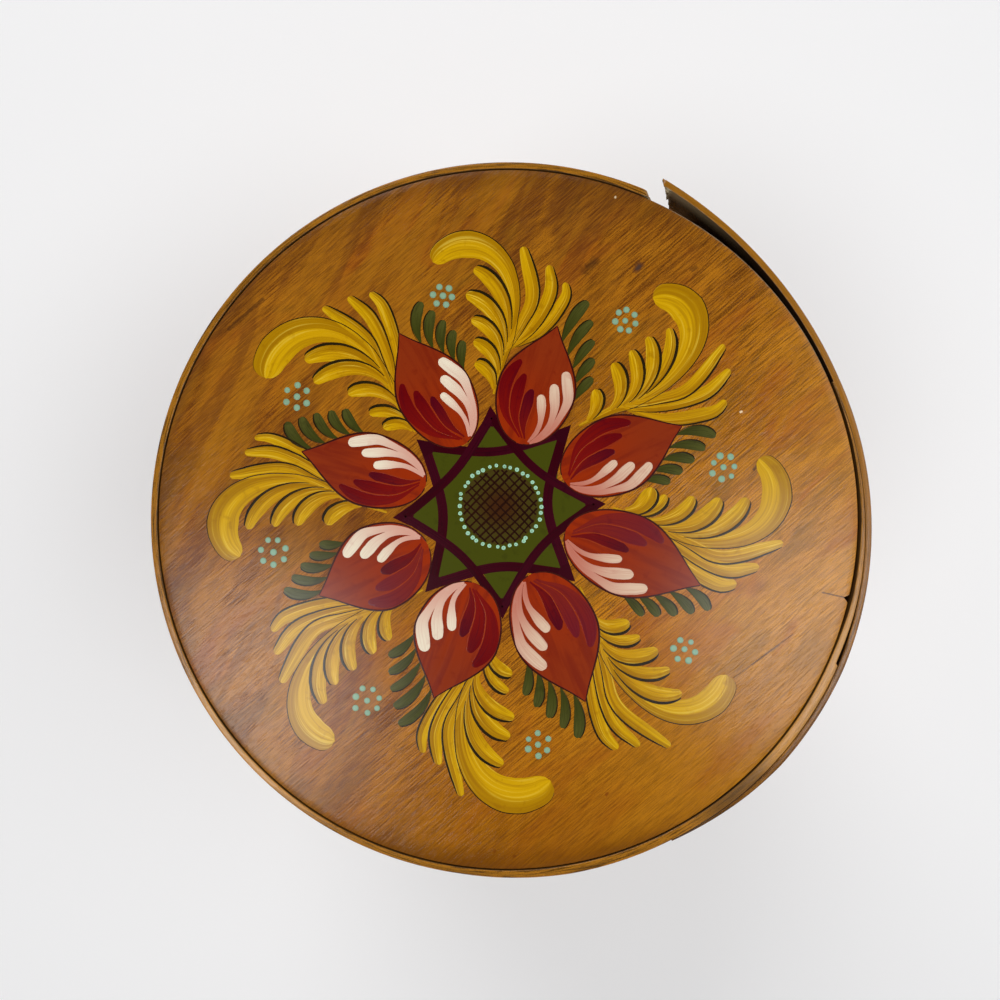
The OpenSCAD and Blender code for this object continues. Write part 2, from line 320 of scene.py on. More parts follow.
@dataclass(frozen=True)
class LidWood(Wood):
    """The lid's varnish: redder at the upper left, golden at the lower right, darker at the rim with grime
    and painted shade beside the hoop.
    """

    red: Colour = srgb(108, 56, 16)
    gold: Colour = srgb(208, 146, 34)
    rust: Colour = srgb(150, 76, 18)
    drab: Colour = srgb(112, 78, 16)
    # dark colour for grime and painted shade beside the hoop, and for the board darker towards the top
    darkening: Colour = srgb(80, 50, 10)
    calm: Colour = srgb(144, 87, 0)
    amber: Colour = srgb(94, 50, 0)
    light: Colour = srgb(160, 103, 20)
    brown: Colour = srgb(94, 48, 18)
    curl: float = 64.0
    worn: Colour = srgb(118, 112, 92)
    worn_at: float = 44.0
    rim: float = 136.4
    blots: tuple[Blot, ...] = ()

    def tint(self, graph: Graph, colour: Wire) -> Wire:
        """Change the plain wood colour for the lid.

        Args:
            graph: Takes the nodes.
            colour: Colour of the wood.
        Returns:
            The changed colour.
        """
        plain = graph.spot()
        x, y, _ = graph.split(plain)
        along, across, _ = graph.split(self.place(graph))
        patchy = graph.streak(along * 8.0, across * 22.0, 0.0, 3.0) - 0.5
        slope = x * 0.87 - y * 0.5 + patchy * 0.12
        hue = graph.streak(along * 20.0, across * 44.0, 3.0, 3.0, 0.8)
        hairs = graph.streak(along * 150.0, across * 2500.0, 7.0, 2.0, 0.2)
        tilt, turn = math.radians(self.curl), math.radians(self.worn_at)
        ahead = x * math.cos(tilt) + y * math.sin(tilt)
        aside = y * math.cos(tilt) - x * math.sin(tilt)
        waves = graph.streak(ahead * 15.0, aside * 92.0, 5.0, 2.0, 0.7)
        clouds = graph.streak(ahead * 10.0, aside * 34.0, 9.0, 3.0, 0.6)
        figured = slope.step(0.05, -0.06)
        rough = graph.noise(plain, 900.0, 2.0)
        reach = (x * x + y * y) ** 0.5
        ragged = reach + graph.noise(plain, 60.0, 2.0) * 0.006
        edge = ragged.step((self.rim - 7) * MM, (self.rim + 3.4) * MM)
        above = (x * 0.25 + y).step(0.06, 0.125)
        below = (x * 0.035 - y).step(0.108, 0.132)
        facing = (x * math.cos(turn) + y * math.sin(turn)).step(0.126, 0.131)
        bare = (reach + (rough - 0.5) * 0.0008).step(self.rim * MM, (self.rim + 0.4) * MM)
        return graph.layers(
            colour,
            (slope.step(0.05, -0.12) * 0.4, self.red),
            (slope.step(0.02, 0.13) * 0.4, self.gold),
            (hue.step(0.52, 0.68) * 0.5, self.rust),
            (hue.step(0.46, 0.3) * 0.42, self.drab),
            (clouds.step(0.5, 0.58) * figured * 0.42, self.light),
            (clouds.step(0.5, 0.41) * figured * 0.5, self.brown),
            (waves.step(0.52, 0.6) * figured * 0.42, self.light),
            (waves.step(0.48, 0.38) * figured * 0.42, self.brown),
            ((x * 0.3 - y).step(0.05, 0.125) * 0.5, self.calm),
            (hairs.step(0.5, 0.66) * 0.3, self.dark),
            (hairs.step(0.5, 0.34) * 0.24, self.pale),
            *((self.mask(x, y, rough, blot), blot.colour) for blot in self.blots),
            # grime and painted shade on the board beside the hoop, at the upper left
            (edge * slope.step(0.09, -0.05) * 0.3, self.darkening),
            # the board darker towards the top
            (above * 0.16, self.darkening),
            (below * (edge * 0.5 + 0.22), self.amber),
            (bare * facing * 0.7, self.worn),
        )

    @staticmethod
    def mask(x: Wire, y: Wire, rough: Wire, blot: Blot) -> Wire:
        """Return where a blot covers the wood.

        Args:
            x, y: Place on the board in metres.
            rough: Noise that breaks its edge.
            blot: The blot.
        Returns:
            Its cover from 0 to 1.
        """
        (ax, ay), (bx, by) = blot.start, blot.end
        run = max(math.hypot(bx - ax, by - ay), 0.01)
        ux, uy = (bx - ax) / run, (by - ay) / run
        dx, dy = x - ax * MM, y - ay * MM
        along = (dx * ux + dy * uy).clip(0.0, run * MM)
        far = ((dx - along * ux) ** 2 + (dy - along * uy) ** 2) ** 0.5
        ragged = far + (rough - 0.5) * (blot.half * MM)
        return ragged.step(blot.half * MM, 0.25 * blot.half * MM) * blot.share


@dataclass(frozen=True)
class RimWood(Wood):
    """The lid hoop's wood: dull inside, painted black shade in the gap beside the board, torn at the break,
    painted sheen on top, dirt and painted shade by the start of the lap.
    """

    # painted shade: black in the gap between the hoop and the board
    gap_shade: Colour = srgb(18, 11, 7)
    dusty: Colour = srgb(104, 90, 68)
    torn: Colour = srgb(164, 150, 118)
    fresh: Colour = srgb(240, 230, 192)
    # dirt and painted shade by the start of the lap
    dirt_and_shade: Colour = srgb(44, 28, 12)
    # painted sheen on the hoop's top
    painted_sheen: Colour = srgb(212, 158, 90)
    inner: Place = (38.4, 73.8)
    board: float = 12.6
    tears: Path = ((0.1575, 0.163), (1.065, 1.058))
    # where the dirt and painted shade lies: place along the hoop and reach
    dirt_shade_at: Place = (0.742, 0.024)
    # where the painted sheen lies: place along the hoop and reach
    sheen_spots: Path = ((0.53, 0.05), (0.79, 0.08))

    def tint(self, graph: Graph, colour: Wire) -> Wire:
        """Change the plain wood colour for the hoop.

        Args:
            graph: Takes the nodes.
            colour: Colour of the wood.
        Returns:
            The changed colour.
        """
        along, across, _ = graph.split(self.place(graph))
        lot = (across + 0.3).floor()
        local, lapped = across - lot, lot - 2.0
        low, high = (edge * MM for edge in self.inner)
        hidden = local.step(low, low + 0.0004) * local.step(high + 0.0006, high - 0.0006)
        crown = local.step(low - 0.003, low - 0.0022) * (1.0 - hidden)
        # painted sheen on the top of the main strip at two places round the hoop
        painted_sheen = [abs(along - at).step(reach, 0.3 * reach) * (1.0 - lapped) for at, reach in self.sheen_spots]
        at, reach = self.dirt_shade_at
        # dirt and painted shade on the top and upper outside of both strips by the start of the lap
        dirty_shaded = abs(along - at).step(reach, 0.3 * reach) * local.step(low - 0.009, low - 0.003)
        open_end = along.step(0.99, 1.055) * local.step(low + 0.008, low + 0.002)
        # painted shade in the gap: the inner face beside the board's edge, dull instead where the strip is
        # broken open
        shaded_gap = hidden * local.step(low + (self.board + 1) * MM, low + (self.board - 1) * MM)
        fibres = graph.streak(along * 300.0, across * 900.0, 0.0, 2.0).step(0.4, 0.62)
        seen = fibres * (1.0 - lapped * (1.0 - hidden))
        split = graph.blend(lapped, self.torn, self.fresh)
        return graph.layers(
            colour,
            # painted sheen on top
            *((near * crown * 0.42, self.painted_sheen) for near in painted_sheen),
            (lapped * crown * along.step(0.8, 0.92) * 0.6, self.pale),
            # dirt and painted shade by the start of the lap
            (dirty_shaded * 0.6, self.dirt_and_shade),
            (hidden * 0.35, self.dusty),
            # painted shade, black in the gap beside the board
            (shaded_gap * (lapped * 0.2 + 0.73), graph.blend(open_end, self.gap_shade, self.dusty)),
            *((abs(along - at).step(abs(end - at), 0.0) * seen, split) for at, end in self.tears),
        )


@dataclass(frozen=True)
class Paint(Finish):
    """Brushed oil paint: streaks along the mark, a change from tail to head, darker edges."""

    tail: Colour
    head: Colour
    shade: Colour
    streak: float = 0.5
    edge: float = 0.0
    lean: float = 0.0
    glint: float = 0.0
    gloss: float = 0.15
    spark: Colour = srgb(228, 204, 84)

    def surface(self, graph: Graph) -> Sockets:
        """Return the inputs of the surface shader.

        Args:
            graph: Takes the nodes.
        Returns:
            Wires and constants by name.
        """
        along, across, _ = graph.split(graph.node("ShaderNodeUVMap", {"uv_map": GRAIN}))
        lot = (along * 0.5 + 0.01).floor()
        run = along - lot * 2.0
        bristles = graph.streak(run * 2.0, across * 10.0, lot * 3.7, 4.0, 0.3)
        coats = [(bristles.step(0.42, 0.7) * self.streak, self.shade)]
        if self.edge:
            rim = abs(across - 0.5) + (bristles - 0.5) * 0.16
            coats.append((rim.step(0.24, 0.5) * self.edge, self.shade))
        if self.lean:
            tilted = across + (bristles - 0.5) * 0.5
            coats.append((tilted.step(0.46, 0.72) * self.lean, self.shade))
        if self.glint:
            coats.append((bristles.step(0.44, 0.3) * self.glint, self.spark))
        coats.append((graph.noise(graph.spot(), 260.0, 3.0).step(0.58, 0.75) * 0.4, self.shade))
        return {
            "Base Color": graph.layers(graph.blend(run.step(0.1, 0.85), self.tail, self.head), *coats),
            "Roughness": bristles * 0.1 + self.gloss,
            "Specular IOR Level": 0.3,
            "Normal": graph.bump(bristles, 0.06, 0.0003),
        }


@dataclass(frozen=True)
class Iron(Finish):
    """Dark iron of hand-headed tacks with a little rust."""

    plain: Colour = srgb(62, 56, 52)
    rust: Colour = srgb(104, 62, 36)

    def surface(self, graph: Graph) -> Sockets:
        """Return the inputs of the surface shader.

        Args:
            graph: Takes the nodes.
        Returns:
            Wires and constants by name.
        """
        rough = graph.noise(graph.spot(), 700.0, 3.0)
        spots = rough.step(0.48, 0.66)
        return {
            "Base Color": graph.blend(spots, self.plain, self.rust),
            "Metallic": 0.85 - spots * 0.7,
            "Roughness": spots * 0.3 + 0.42,
            "Normal": graph.bump(rough, 0.3, 0.0004),
        }


@dataclass(frozen=True)
class Table(Finish):
    """The pale cloth that the firkin stands on."""

    plain: Colour = srgb(249, 249, 250)
    none: Colour = srgb(0, 0, 0)
    haze: Colour = srgb(182, 182, 183)
    fade: Place = (0.62, 1.9)

    def surface(self, graph: Graph) -> Sockets:
        """Return the inputs of the surface shader: the cloth far from the firkin fades to white.

        Args:
            graph: Takes the nodes.
        Returns:
            Wires and constants by name.
        """
        x, y, _ = graph.split(graph.spot())
        seen = graph.node("ShaderNodeLightPath", None, None, "Is Camera Ray")
        mirrored = seen.other("Is Glossy Ray") + seen.other("Is Transmission Ray")
        far = ((x * x + y * y) ** 0.5).step(*self.fade) * (seen + mirrored).clip(0.0, 1.0)
        return {
            "Base Color": self.plain,
            "Roughness": 0.9,
            "Specular IOR Level": 0.1,
            "Emission Color": graph.blend(far, self.none, self.haze),
            "Emission Strength": 1.0,
        }


UMBER_STAIN = srgb(58, 30, 14)
PALE_STAIN = srgb(236, 214, 172)
RUST_STAIN = srgb(104, 44, 8)
BLOTS = (
    Blot((50.2, 97.8), (51.6, 99.4), 2.2, 0.75, srgb(72, 40, 30)),
    Blot((50.5, 98.2), (51.3, 99.0), 1.1, 0.8, srgb(66, 52, 48)),
    Blot((31.0, 99.0), (33.4, 100.6), 1.3, 0.45, UMBER_STAIN),
    Blot((29.6, 97.4), (33.8, 100.8), 3.0, 0.5, UMBER_STAIN),
    Blot((72.0, 97.8), (73.0, 98.6), 1.5, 0.5, UMBER_STAIN),
    Blot((88.2, -62.0), (111.3, -45.0), 0.4, 0.6, UMBER_STAIN),
    Blot((95.5, -56.8), (106.0, -49.1), 0.65, 0.45, UMBER_STAIN),
    Blot((96.2, 19.6), (97.2, 20.9), 0.9, 0.75, UMBER_STAIN),
    Blot((134.0, -31.0), (123.0, -28.6), 0.45, 0.8, UMBER_STAIN),
    Blot((-109.3, 74.5), (-96.1, 86.1), 1.1, 0.6, UMBER_STAIN),
    Blot((38.3, -107.8), (38.9, -107.2), 0.8, 0.6, RUST_STAIN),
    Blot((2.2, -131.9), (2.6, -131.7), 0.8, 0.6, RUST_STAIN),
    Blot((-5.4, -130.0), (-5.2, -129.6), 0.7, 0.6, RUST_STAIN),
    Blot((41.9, 126.0), (42.0, 126.2), 0.6, 1.0, PALE_STAIN),
    Blot((91.0, 42.0), (91.4, 42.2), 0.6, 0.9, PALE_STAIN),
)

STAVE_WOOD = Wood("stave_varnish", srgb(186, 124, 48), srgb(140, 84, 26), srgb(92, 52, 16))
HOOP_WOOD = Wood("hoop_varnish", srgb(172, 114, 44), srgb(126, 76, 24), srgb(78, 46, 16))
BAIL_WOOD = Wood("bail_varnish", srgb(164, 104, 40), srgb(122, 72, 24), srgb(74, 42, 14))
PEG_WOOD = Wood("peg_varnish", srgb(132, 82, 38), srgb(100, 58, 24), srgb(60, 34, 14))
PLANK_WOOD = Wood(
    "plank_bare", srgb(190, 140, 76), srgb(152, 100, 46), srgb(100, 62, 26), GrainSpace.PLAN, 90
)
LID_WOOD = LidWood(
    "lid_varnish", srgb(190, 121, 22), srgb(132, 74, 12), srgb(76, 36, 8), GrainSpace.PLAN, 41, blots=BLOTS
)
LID_HOOP_WOOD = RimWood("lid_hoop_varnish", srgb(158, 104, 26), srgb(108, 66, 14), srgb(62, 38, 10))
TACK_IRON = Iron("iron_tacks")

YELLOW = Paint("oil_yellow", srgb(186, 136, 4), srgb(200, 155, 4), srgb(138, 90, 0), 0.5, 0.15, 0.6, 0.35)
OLIVE = Paint("oil_olive", srgb(50, 36, 8), srgb(32, 24, 8), srgb(22, 14, 6), 0.5)
LEAF = Paint("oil_leaf", srgb(58, 60, 16), srgb(74, 75, 30), srgb(42, 40, 10), 0.6, 0.3)
RED = Paint("oil_red", srgb(144, 42, 6), srgb(130, 44, 14), srgb(108, 22, 6), 0.6)
CRIMSON = Paint("oil_crimson", srgb(118, 14, 8), srgb(98, 4, 8), srgb(78, 0, 14), 0.5)
# mauve for buds 3, 4 and 6: partly their own paint, partly painted sheen where the sheen falls on them
MAUVE = Paint("oil_mauve", srgb(120, 30, 20), srgb(106, 22, 30), srgb(84, 8, 24), 0.5)
PLUM = Paint("oil_plum", srgb(108, 14, 12), srgb(82, 4, 18), srgb(62, 0, 18), 0.5)
EMBER = Paint("oil_ember", srgb(146, 52, 18), srgb(134, 38, 10), srgb(122, 32, 10), 0.3)
MAROON = Paint("oil_maroon", srgb(62, 18, 12), srgb(54, 14, 12), srgb(40, 10, 10), 0.4)
UMBER = Paint("oil_umber", srgb(40, 16, 6), srgb(34, 12, 6), srgb(26, 10, 4), 0.3)
CREAM = Paint("oil_cream", srgb(204, 150, 132), srgb(226, 214, 190), srgb(204, 166, 148), 0.4, 0.15)
BLUSH = Paint("oil_blush", srgb(182, 106, 88), srgb(212, 184, 158), srgb(186, 130, 112), 0.5, 0.2)
MINT = Paint("oil_mint", srgb(134, 166, 140), srgb(134, 166, 140), srgb(104, 138, 108), 0.3, 0.6)
PALE_MINT = Paint("oil_pale_mint", srgb(154, 200, 172), srgb(154, 200, 172), srgb(84, 124, 92), 0.1, 0.8)
PURPLE = Paint("oil_purple", srgb(50, 0, 10), srgb(58, 4, 20), srgb(36, 0, 10), 0.7)
GREEN = Paint("oil_green", srgb(66, 69, 10), srgb(62, 66, 10), srgb(50, 50, 8), 0.5)
LATTICE = Paint("oil_lattice", srgb(60, 30, 10), srgb(64, 56, 16), srgb(58, 36, 10), 0.5)


@dataclass
class Draft:
    """Points, faces and grain coordinates of a mesh in the making."""

    name: str
    points: list[Triple] = field(default_factory=list)
    faces: list[tuple[int, ...]] = field(default_factory=list)
    grain: list[Place] = field(default_factory=list)

    def loft(self, rings: np.ndarray, grain: np.ndarray) -> None:
        """Skin a row of closed rings and cap both ends.

        Args:
            rings: Points by station and by place round the ring.
            grain: Grain coordinates likewise, with the first place repeated at the end.
        """
        base = len(self.points)
        stations, around = rings.shape[:2]
        self.points.extend(map(tuple, rings.reshape(-1, 3).tolist()))
        for i in range(stations - 1):
            for j in range(around):
                corners = ((i, j), (i, j + 1), (i + 1, j + 1), (i + 1, j))
                self.faces.append(tuple(base + a * around + b % around for a, b in corners))
                self.grain.extend(tuple(grain[a, b]) for a, b in corners)
        for i, order in ((0, range(around - 1, -1, -1)), (stations - 1, range(around))):
            self.faces.append(tuple(base + i * around + j for j in order))
            self.grain.extend(tuple(grain[i, j]) for j in order)

    def plate(self, outline: np.ndarray, low: float, high: float, grain: np.ndarray) -> None:
        """Raise a flat plate from an outline.

        Args:
            outline: Corners in plan, counter-clockwise.
            low, high: Heights of its underside and top.
            grain: Grain coordinates of the corners.
        """
        count = len(outline)
        levels = [np.column_stack([outline, np.full(count, z)]) for z in (low, high)]
        wrapped = np.vstack([grain, grain[:1]])
        self.loft(np.stack(levels), np.stack([wrapped, wrapped]))

    def make(self, finish: Finish) -> bpy.types.Object:
        """Turn the draft into an object in the scene.

        Args:
            finish: Its surface.
        Returns:
            The object.
        """
        mesh = bpy.data.meshes.new(self.name)
        mesh.from_pydata((np.array(self.points) * MM).tolist(), [], self.faces)
        layer = mesh.uv_layers.new(name=GRAIN)
        layer.data.foreach_set("uv", np.array(self.grain, np.float32).ravel())
        work = bmesh.new()
        work.from_mesh(mesh)
        bmesh.ops.remove_doubles(work, verts=work.verts, dist=1e-7)
        bmesh.ops.dissolve_degenerate(work, edges=work.edges, dist=1e-8)
        bmesh.ops.recalc_face_normals(work, faces=work.faces)
        work.to_mesh(mesh)
        work.free()
        mesh.shade_smooth()
        mesh.set_sharp_from_angle(angle=CREASE)
        made = bpy.data.objects.new(self.name, mesh)
        bpy.context.scene.collection.objects.link(made)
        made.data.materials.append(finish.material())
        log.info("piece %s: %d faces", self.name, len(mesh.polygons))
        return made


def bar_ring(inner: float, outer: float, low: float, high: float, ease: float) -> np.ndarray:
    """Return the section of a flat bar with rounded arrises.

    Args:
        inner, outer: Its faces.
        low, high: Its edges.
        ease: Radius of the arrises.
    Returns:
        Points as (place across the thickness, place across the width).
    """
    ease = min(ease, 0.46 * (outer - inner), 0.46 * (high - low))
    corners = (
        (outer - ease, low + ease, -90),
        (outer - ease, high - ease, 0),
        (inner + ease, high - ease, 90),
        (inner + ease, low + ease, 180),
    )
    turns = np.radians((0, 30, 60, 90))
    rows = []
    for x, y, start in corners:
        angles = turns + math.radians(start)
        rows.append(np.column_stack([x + ease * np.cos(angles), y + ease * np.sin(angles)]))
    return np.vstack(rows)


def lengths(path: np.ndarray) -> np.ndarray:
    """Return how far along a path each point lies."""
    steps = np.linalg.norm(np.diff(path, axis=0), axis=1)
    return np.concatenate([[0.0], np.cumsum(steps)])


def girth(ring: np.ndarray) -> np.ndarray:
    """Return how far round a closed ring each point lies, with the whole way round last."""
    return lengths(np.vstack([ring, ring[:1]]))


def heading(angle: float) -> np.ndarray:
    """Return the direction in plan of an angle in degrees from +X."""
    turn = math.radians(angle)
    return np.array((math.cos(turn), math.sin(turn)))


def eased(share: float) -> float:
    """Return a share, kept from 0 to 1, that starts and ends gently."""
    share = min(1.0, max(0.0, share))
    return share * share * (3 - 2 * share)


def circle(reach: Any, angles: np.ndarray, z: float) -> np.ndarray:
    """Return level points at radii and angles in degrees round the axis."""
    turns = np.radians(angles)
    return np.column_stack([reach * np.cos(turns), reach * np.sin(turns), np.full(len(turns), z)])


def polar(angle: float, ring: np.ndarray) -> np.ndarray:
    """Stand a section of (radius, height) points at an angle in degrees round the axis."""
    x, y = heading(angle)
    return np.column_stack([ring[:, 0] * x, ring[:, 0] * y, ring[:, 1]])


def lathe(name: str, profile: Path, steps: int) -> Draft:
    """Turn a profile of (radius, height) points about Z.

    Args:
        name: Name of the draft.
        profile: From the lower end to the upper one.
        steps: Facets round the axis.
    Returns:
        The draft.
    """
    angles = np.linspace(0, 360, steps + 1)
    draft = Draft(name)
    grain = [[(z * MM, r * a * MM) for a in np.radians(angles)] for r, z in profile]
    draft.loft(np.array([circle(r, angles[:-1], z) for r, z in profile]), np.array(grain))
    return draft


def fit(obj: bpy.types.Object, body: str, slot: str, *nodes: str) -> None:
    """Let a piece ride on a body and let it stand for CAD nodes.

    Args:
        obj: The piece.
        body: CAD body that it moves with.
        slot: Not used.
        nodes: CAD nodes that it stands for.
    """
    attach(obj, body)
    if nodes:
        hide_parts(*nodes)


class NodeMesh:
    """A Geometry Nodes tree with named inputs that is turned into a plain mesh."""

    def __init__(self, name: str, inputs: dict[str, str]) -> None:
        """Make the tree with its inputs, by name and type."""
        self.tree = bpy.data.node_groups.new(name, "GeometryNodeTree")
        self.sockets = {}
        for label, kind in {"Geometry": "NodeSocketGeometry", **inputs}.items():
            self.sockets[label] = self.tree.interface.new_socket(label, in_out="INPUT", socket_type=kind)
        self.tree.interface.new_socket("Geometry", in_out="OUTPUT", socket_type="NodeSocketGeometry")
        self.graph = Graph(self.tree)
        self.source = self.graph.node("NodeGroupInput")

    def given(self, label: str) -> Wire:
        """Return a named input."""
        return self.source.other(label)

    def named(self, name: str, kind: str = "FLOAT") -> Wire:
        """Return an attribute of the points."""
        return self.graph.node("GeometryNodeInputNamedAttribute", {"data_type": kind}, {"Name": name})

    def close(self, geometry: Wire) -> None:
        """End the tree: real geometry in the given finish.

        Args:
            geometry: What the tree has made.
        """
        real = self.graph.node("GeometryNodeRealizeInstances", None, {"Geometry": geometry})
        smooth = self.graph.node("GeometryNodeSetShadeSmooth", None, {"Geometry": real})
        values = {"Geometry": smooth, "Material": self.given("Finish")}
        dressed = self.graph.node("GeometryNodeSetMaterial", None, values)
        self.graph.node("NodeGroupOutput", None, {0: dressed})

    def grow(self, obj: bpy.types.Object, values: dict[str, Any]) -> bpy.types.Object:
        """Run the tree on an object and keep the result as its mesh.

        Args:
            obj: Carries the points.
            values: Inputs by name.
        Returns:
            The object with its new mesh.
        """
        modifier = obj.modifiers.new(self.tree.name, "NODES")
        modifier.node_group = self.tree
        for label, value in values.items():
            modifier[self.sockets[label].identifier] = value
        grown = obj.evaluated_get(bpy.context.evaluated_depsgraph_get())
        mesh = bpy.data.meshes.new_from_object(grown)
        mesh.set_sharp_from_angle(angle=CREASE)
        obj.modifiers.remove(modifier)
        obj.data = mesh
        log.info("piece %s: %d faces", obj.name, len(mesh.polygons))
        return obj


def point_object(
    name: str, points: np.ndarray, edges: Sequence[tuple[int, int]], values: dict[str, np.ndarray]
) -> bpy.types.Object:
    """Make an object of bare points that carry attributes.

    Args:
        name: Name of the object.
        points: Places in millimetres.
        edges: Pairs of points that are joined.
        values: Attributes by name, one number or vector for each point.
    Returns:
        The object.
    """
    mesh = bpy.data.meshes.new(name)
    mesh.from_pydata((points * MM).tolist(), edges, [])
    for label, numbers in values.items():
        flat = numbers.ndim == 1
        made = mesh.attributes.new(label, "FLOAT" if flat else "FLOAT_VECTOR", "POINT")
        made.data.foreach_set("value" if flat else "vector", numbers.astype(np.float32).ravel())
    obj = bpy.data.objects.new(name, mesh)
    bpy.context.scene.collection.objects.link(obj)
    return obj


class Scatter(NodeMesh):
    """Copies of one small shape on points, each turned to its aim and spun by chance."""

    def __init__(self) -> None:
        """Make the tree."""
        kinds = {"Shape": "NodeSocketObject", "Seed": "NodeSocketInt", "Wobble": "NodeSocketFloat"}
        super().__init__("scatter", {**kinds, "Finish": "NodeSocketMaterial"})
        graph = self.graph
        shape = graph.node("GeometryNodeObjectInfo", None, {"Object": self.given("Shape")}, "Geometry")
        aim = {"Vector": self.named("aim", "FLOAT_VECTOR")}
        aligned = graph.node("FunctionNodeAlignRotationToVector", {"axis": "Z"}, aim)
        around = {2: 0.0, 3: 2 * math.pi, "Seed": self.given("Seed")}
        spun = graph.node("FunctionNodeRandomValue", None, around, 1)
        spin = graph.node("FunctionNodeAxisAngleToRotation", None, {"Axis": (0, 0, 1), "Angle": spun})
        turn = {"Rotation": aligned, "Rotate By": spin}
        turned = graph.node("FunctionNodeRotateRotation", {"rotation_space": "LOCAL"}, turn)
        more = self.given("Wobble")
        chance = {2: 1.0 - more, 3: 1.0 + more, "Seed": self.given("Seed") + 1}
        size = self.named("size") * graph.node("FunctionNodeRandomValue", None, chance, 1)
        copies = {
            "Points": self.given("Geometry"),
            "Instance": shape,
            "Rotation": turned,
            "Scale": graph.vector(size, size, 1.0),
        }
        self.close(graph.node("GeometryNodeInstanceOnPoints", None, copies))

    def lay(
        self, name: str, shape: Draft, finish: Finish, spots: Sequence[Spot], wobble: float
    ) -> bpy.types.Object:
        """Lay copies of a shape.

        Args:
            name: Name of the piece.
            shape: Drawn about the origin, its outside towards +Z.
            finish: Surface of the copies.
            spots: Place, aim and size of each copy.
            wobble: How much the sizes vary by chance.
        Returns:
            The piece.
        """
        model = shape.make(finish)
        places, aims, sizes = (np.array(part, float) for part in zip(*spots))
        obj = point_object(name, places, [], {"aim": aims, "size": sizes})
        self.grow(obj, {"Shape": model, "Seed": len(spots), "Wobble": wobble, "Finish": finish.material()})
        bpy.data.objects.remove(model)
        return obj


@dataclass
class Stroke:
    """One brush mark: a path in plan with its half width and its height on the board."""

    path: np.ndarray
    half: np.ndarray
    lift: float


class Brush(NodeMesh):
    """Sweeps a flat, slightly domed mark along each chain of points."""

    sides = 10
    relief = 0.006
    sink = 0.3

    def __init__(self) -> None:
        """Make the tree."""
        kinds = {"Sides": "NodeSocketInt", "Relief": "NodeSocketFloat", "Finish": "NodeSocketMaterial"}
        super().__init__("brush", kinds)
        graph = self.graph
        chain = graph.node("GeometryNodeMeshToCurve", None, {"Mesh": self.given("Geometry")})
        level = graph.node("GeometryNodeSetCurveNormal", {"mode": "Z_UP"}, {"Curve": chain})
        bristles = {"Resolution": self.given("Sides"), "Radius": 1.0}
        tip = graph.node("GeometryNodeCurvePrimitiveCircle", {"mode": "RADIUS"}, bristles)
        where = graph.split(graph.node("GeometryNodeInputPosition"))
        stored = {"Geometry": tip, "Name": "across", "Value": where[0] * 0.5 + 0.5}
        tip = graph.node("GeometryNodeStoreNamedAttribute", {"data_type": "FLOAT", "domain": "POINT"}, stored)
        swept = {"Curve": level, "Profile Curve": tip, "Scale": self.named("half"), "Fill Caps": True}
        mark = graph.node("GeometryNodeCurveToMesh", None, swept)
        x, y, z = graph.split(graph.node("GeometryNodeInputPosition"))
        sunk = graph.node("ShaderNodeMath", {"operation": "LESS_THAN"}, {0: z, 1: -1e-6}) * (self.sink * MM)
        height = self.named("lift") + z / self.named("half") * self.given("Relief") - sunk
        moved = {"Geometry": mark, "Position": graph.vector(x, y, height)}
        mark = graph.node("GeometryNodeSetPosition", None, moved)
        grain = graph.vector(self.named("lot") * 2.0 + self.named("run"), self.named("across"))
        kept = {"Geometry": mark, "Name": GRAIN, "Value": grain}
        corner = {"data_type": "FLOAT2", "domain": "CORNER"}
        self.close(graph.node("GeometryNodeStoreNamedAttribute", corner, kept))

    def paint(self, name: str, finish: Finish, strokes: Sequence[Stroke]) -> bpy.types.Object:
        """Paint a set of strokes in one colour.

        Args:
            name: Name of the piece.
            finish: The paint.
            strokes: The marks.
        Returns:
            The piece.
        """
        counts = [len(stroke.path) for stroke in strokes]
        points = np.concatenate([np.pad(stroke.path, ((0, 0), (0, 1))) for stroke in strokes])
        breaks = set(np.cumsum(counts).tolist())
        edges = [(i, i + 1) for i in range(len(points) - 1) if i + 1 not in breaks]
        values = {
            "half": np.concatenate([stroke.half for stroke in strokes]) * MM,
            "lift": np.repeat([stroke.lift * MM for stroke in strokes], counts),
            "run": np.concatenate([np.linspace(0, 1, count) for count in counts]),
            "lot": np.repeat(np.arange(len(strokes), dtype=float), counts),
        }
        obj = point_object(name, points, edges, values)
        inputs = {"Sides": self.sides, "Relief": self.relief * MM, "Finish": finish.material()}
        return self.grow(obj, inputs)


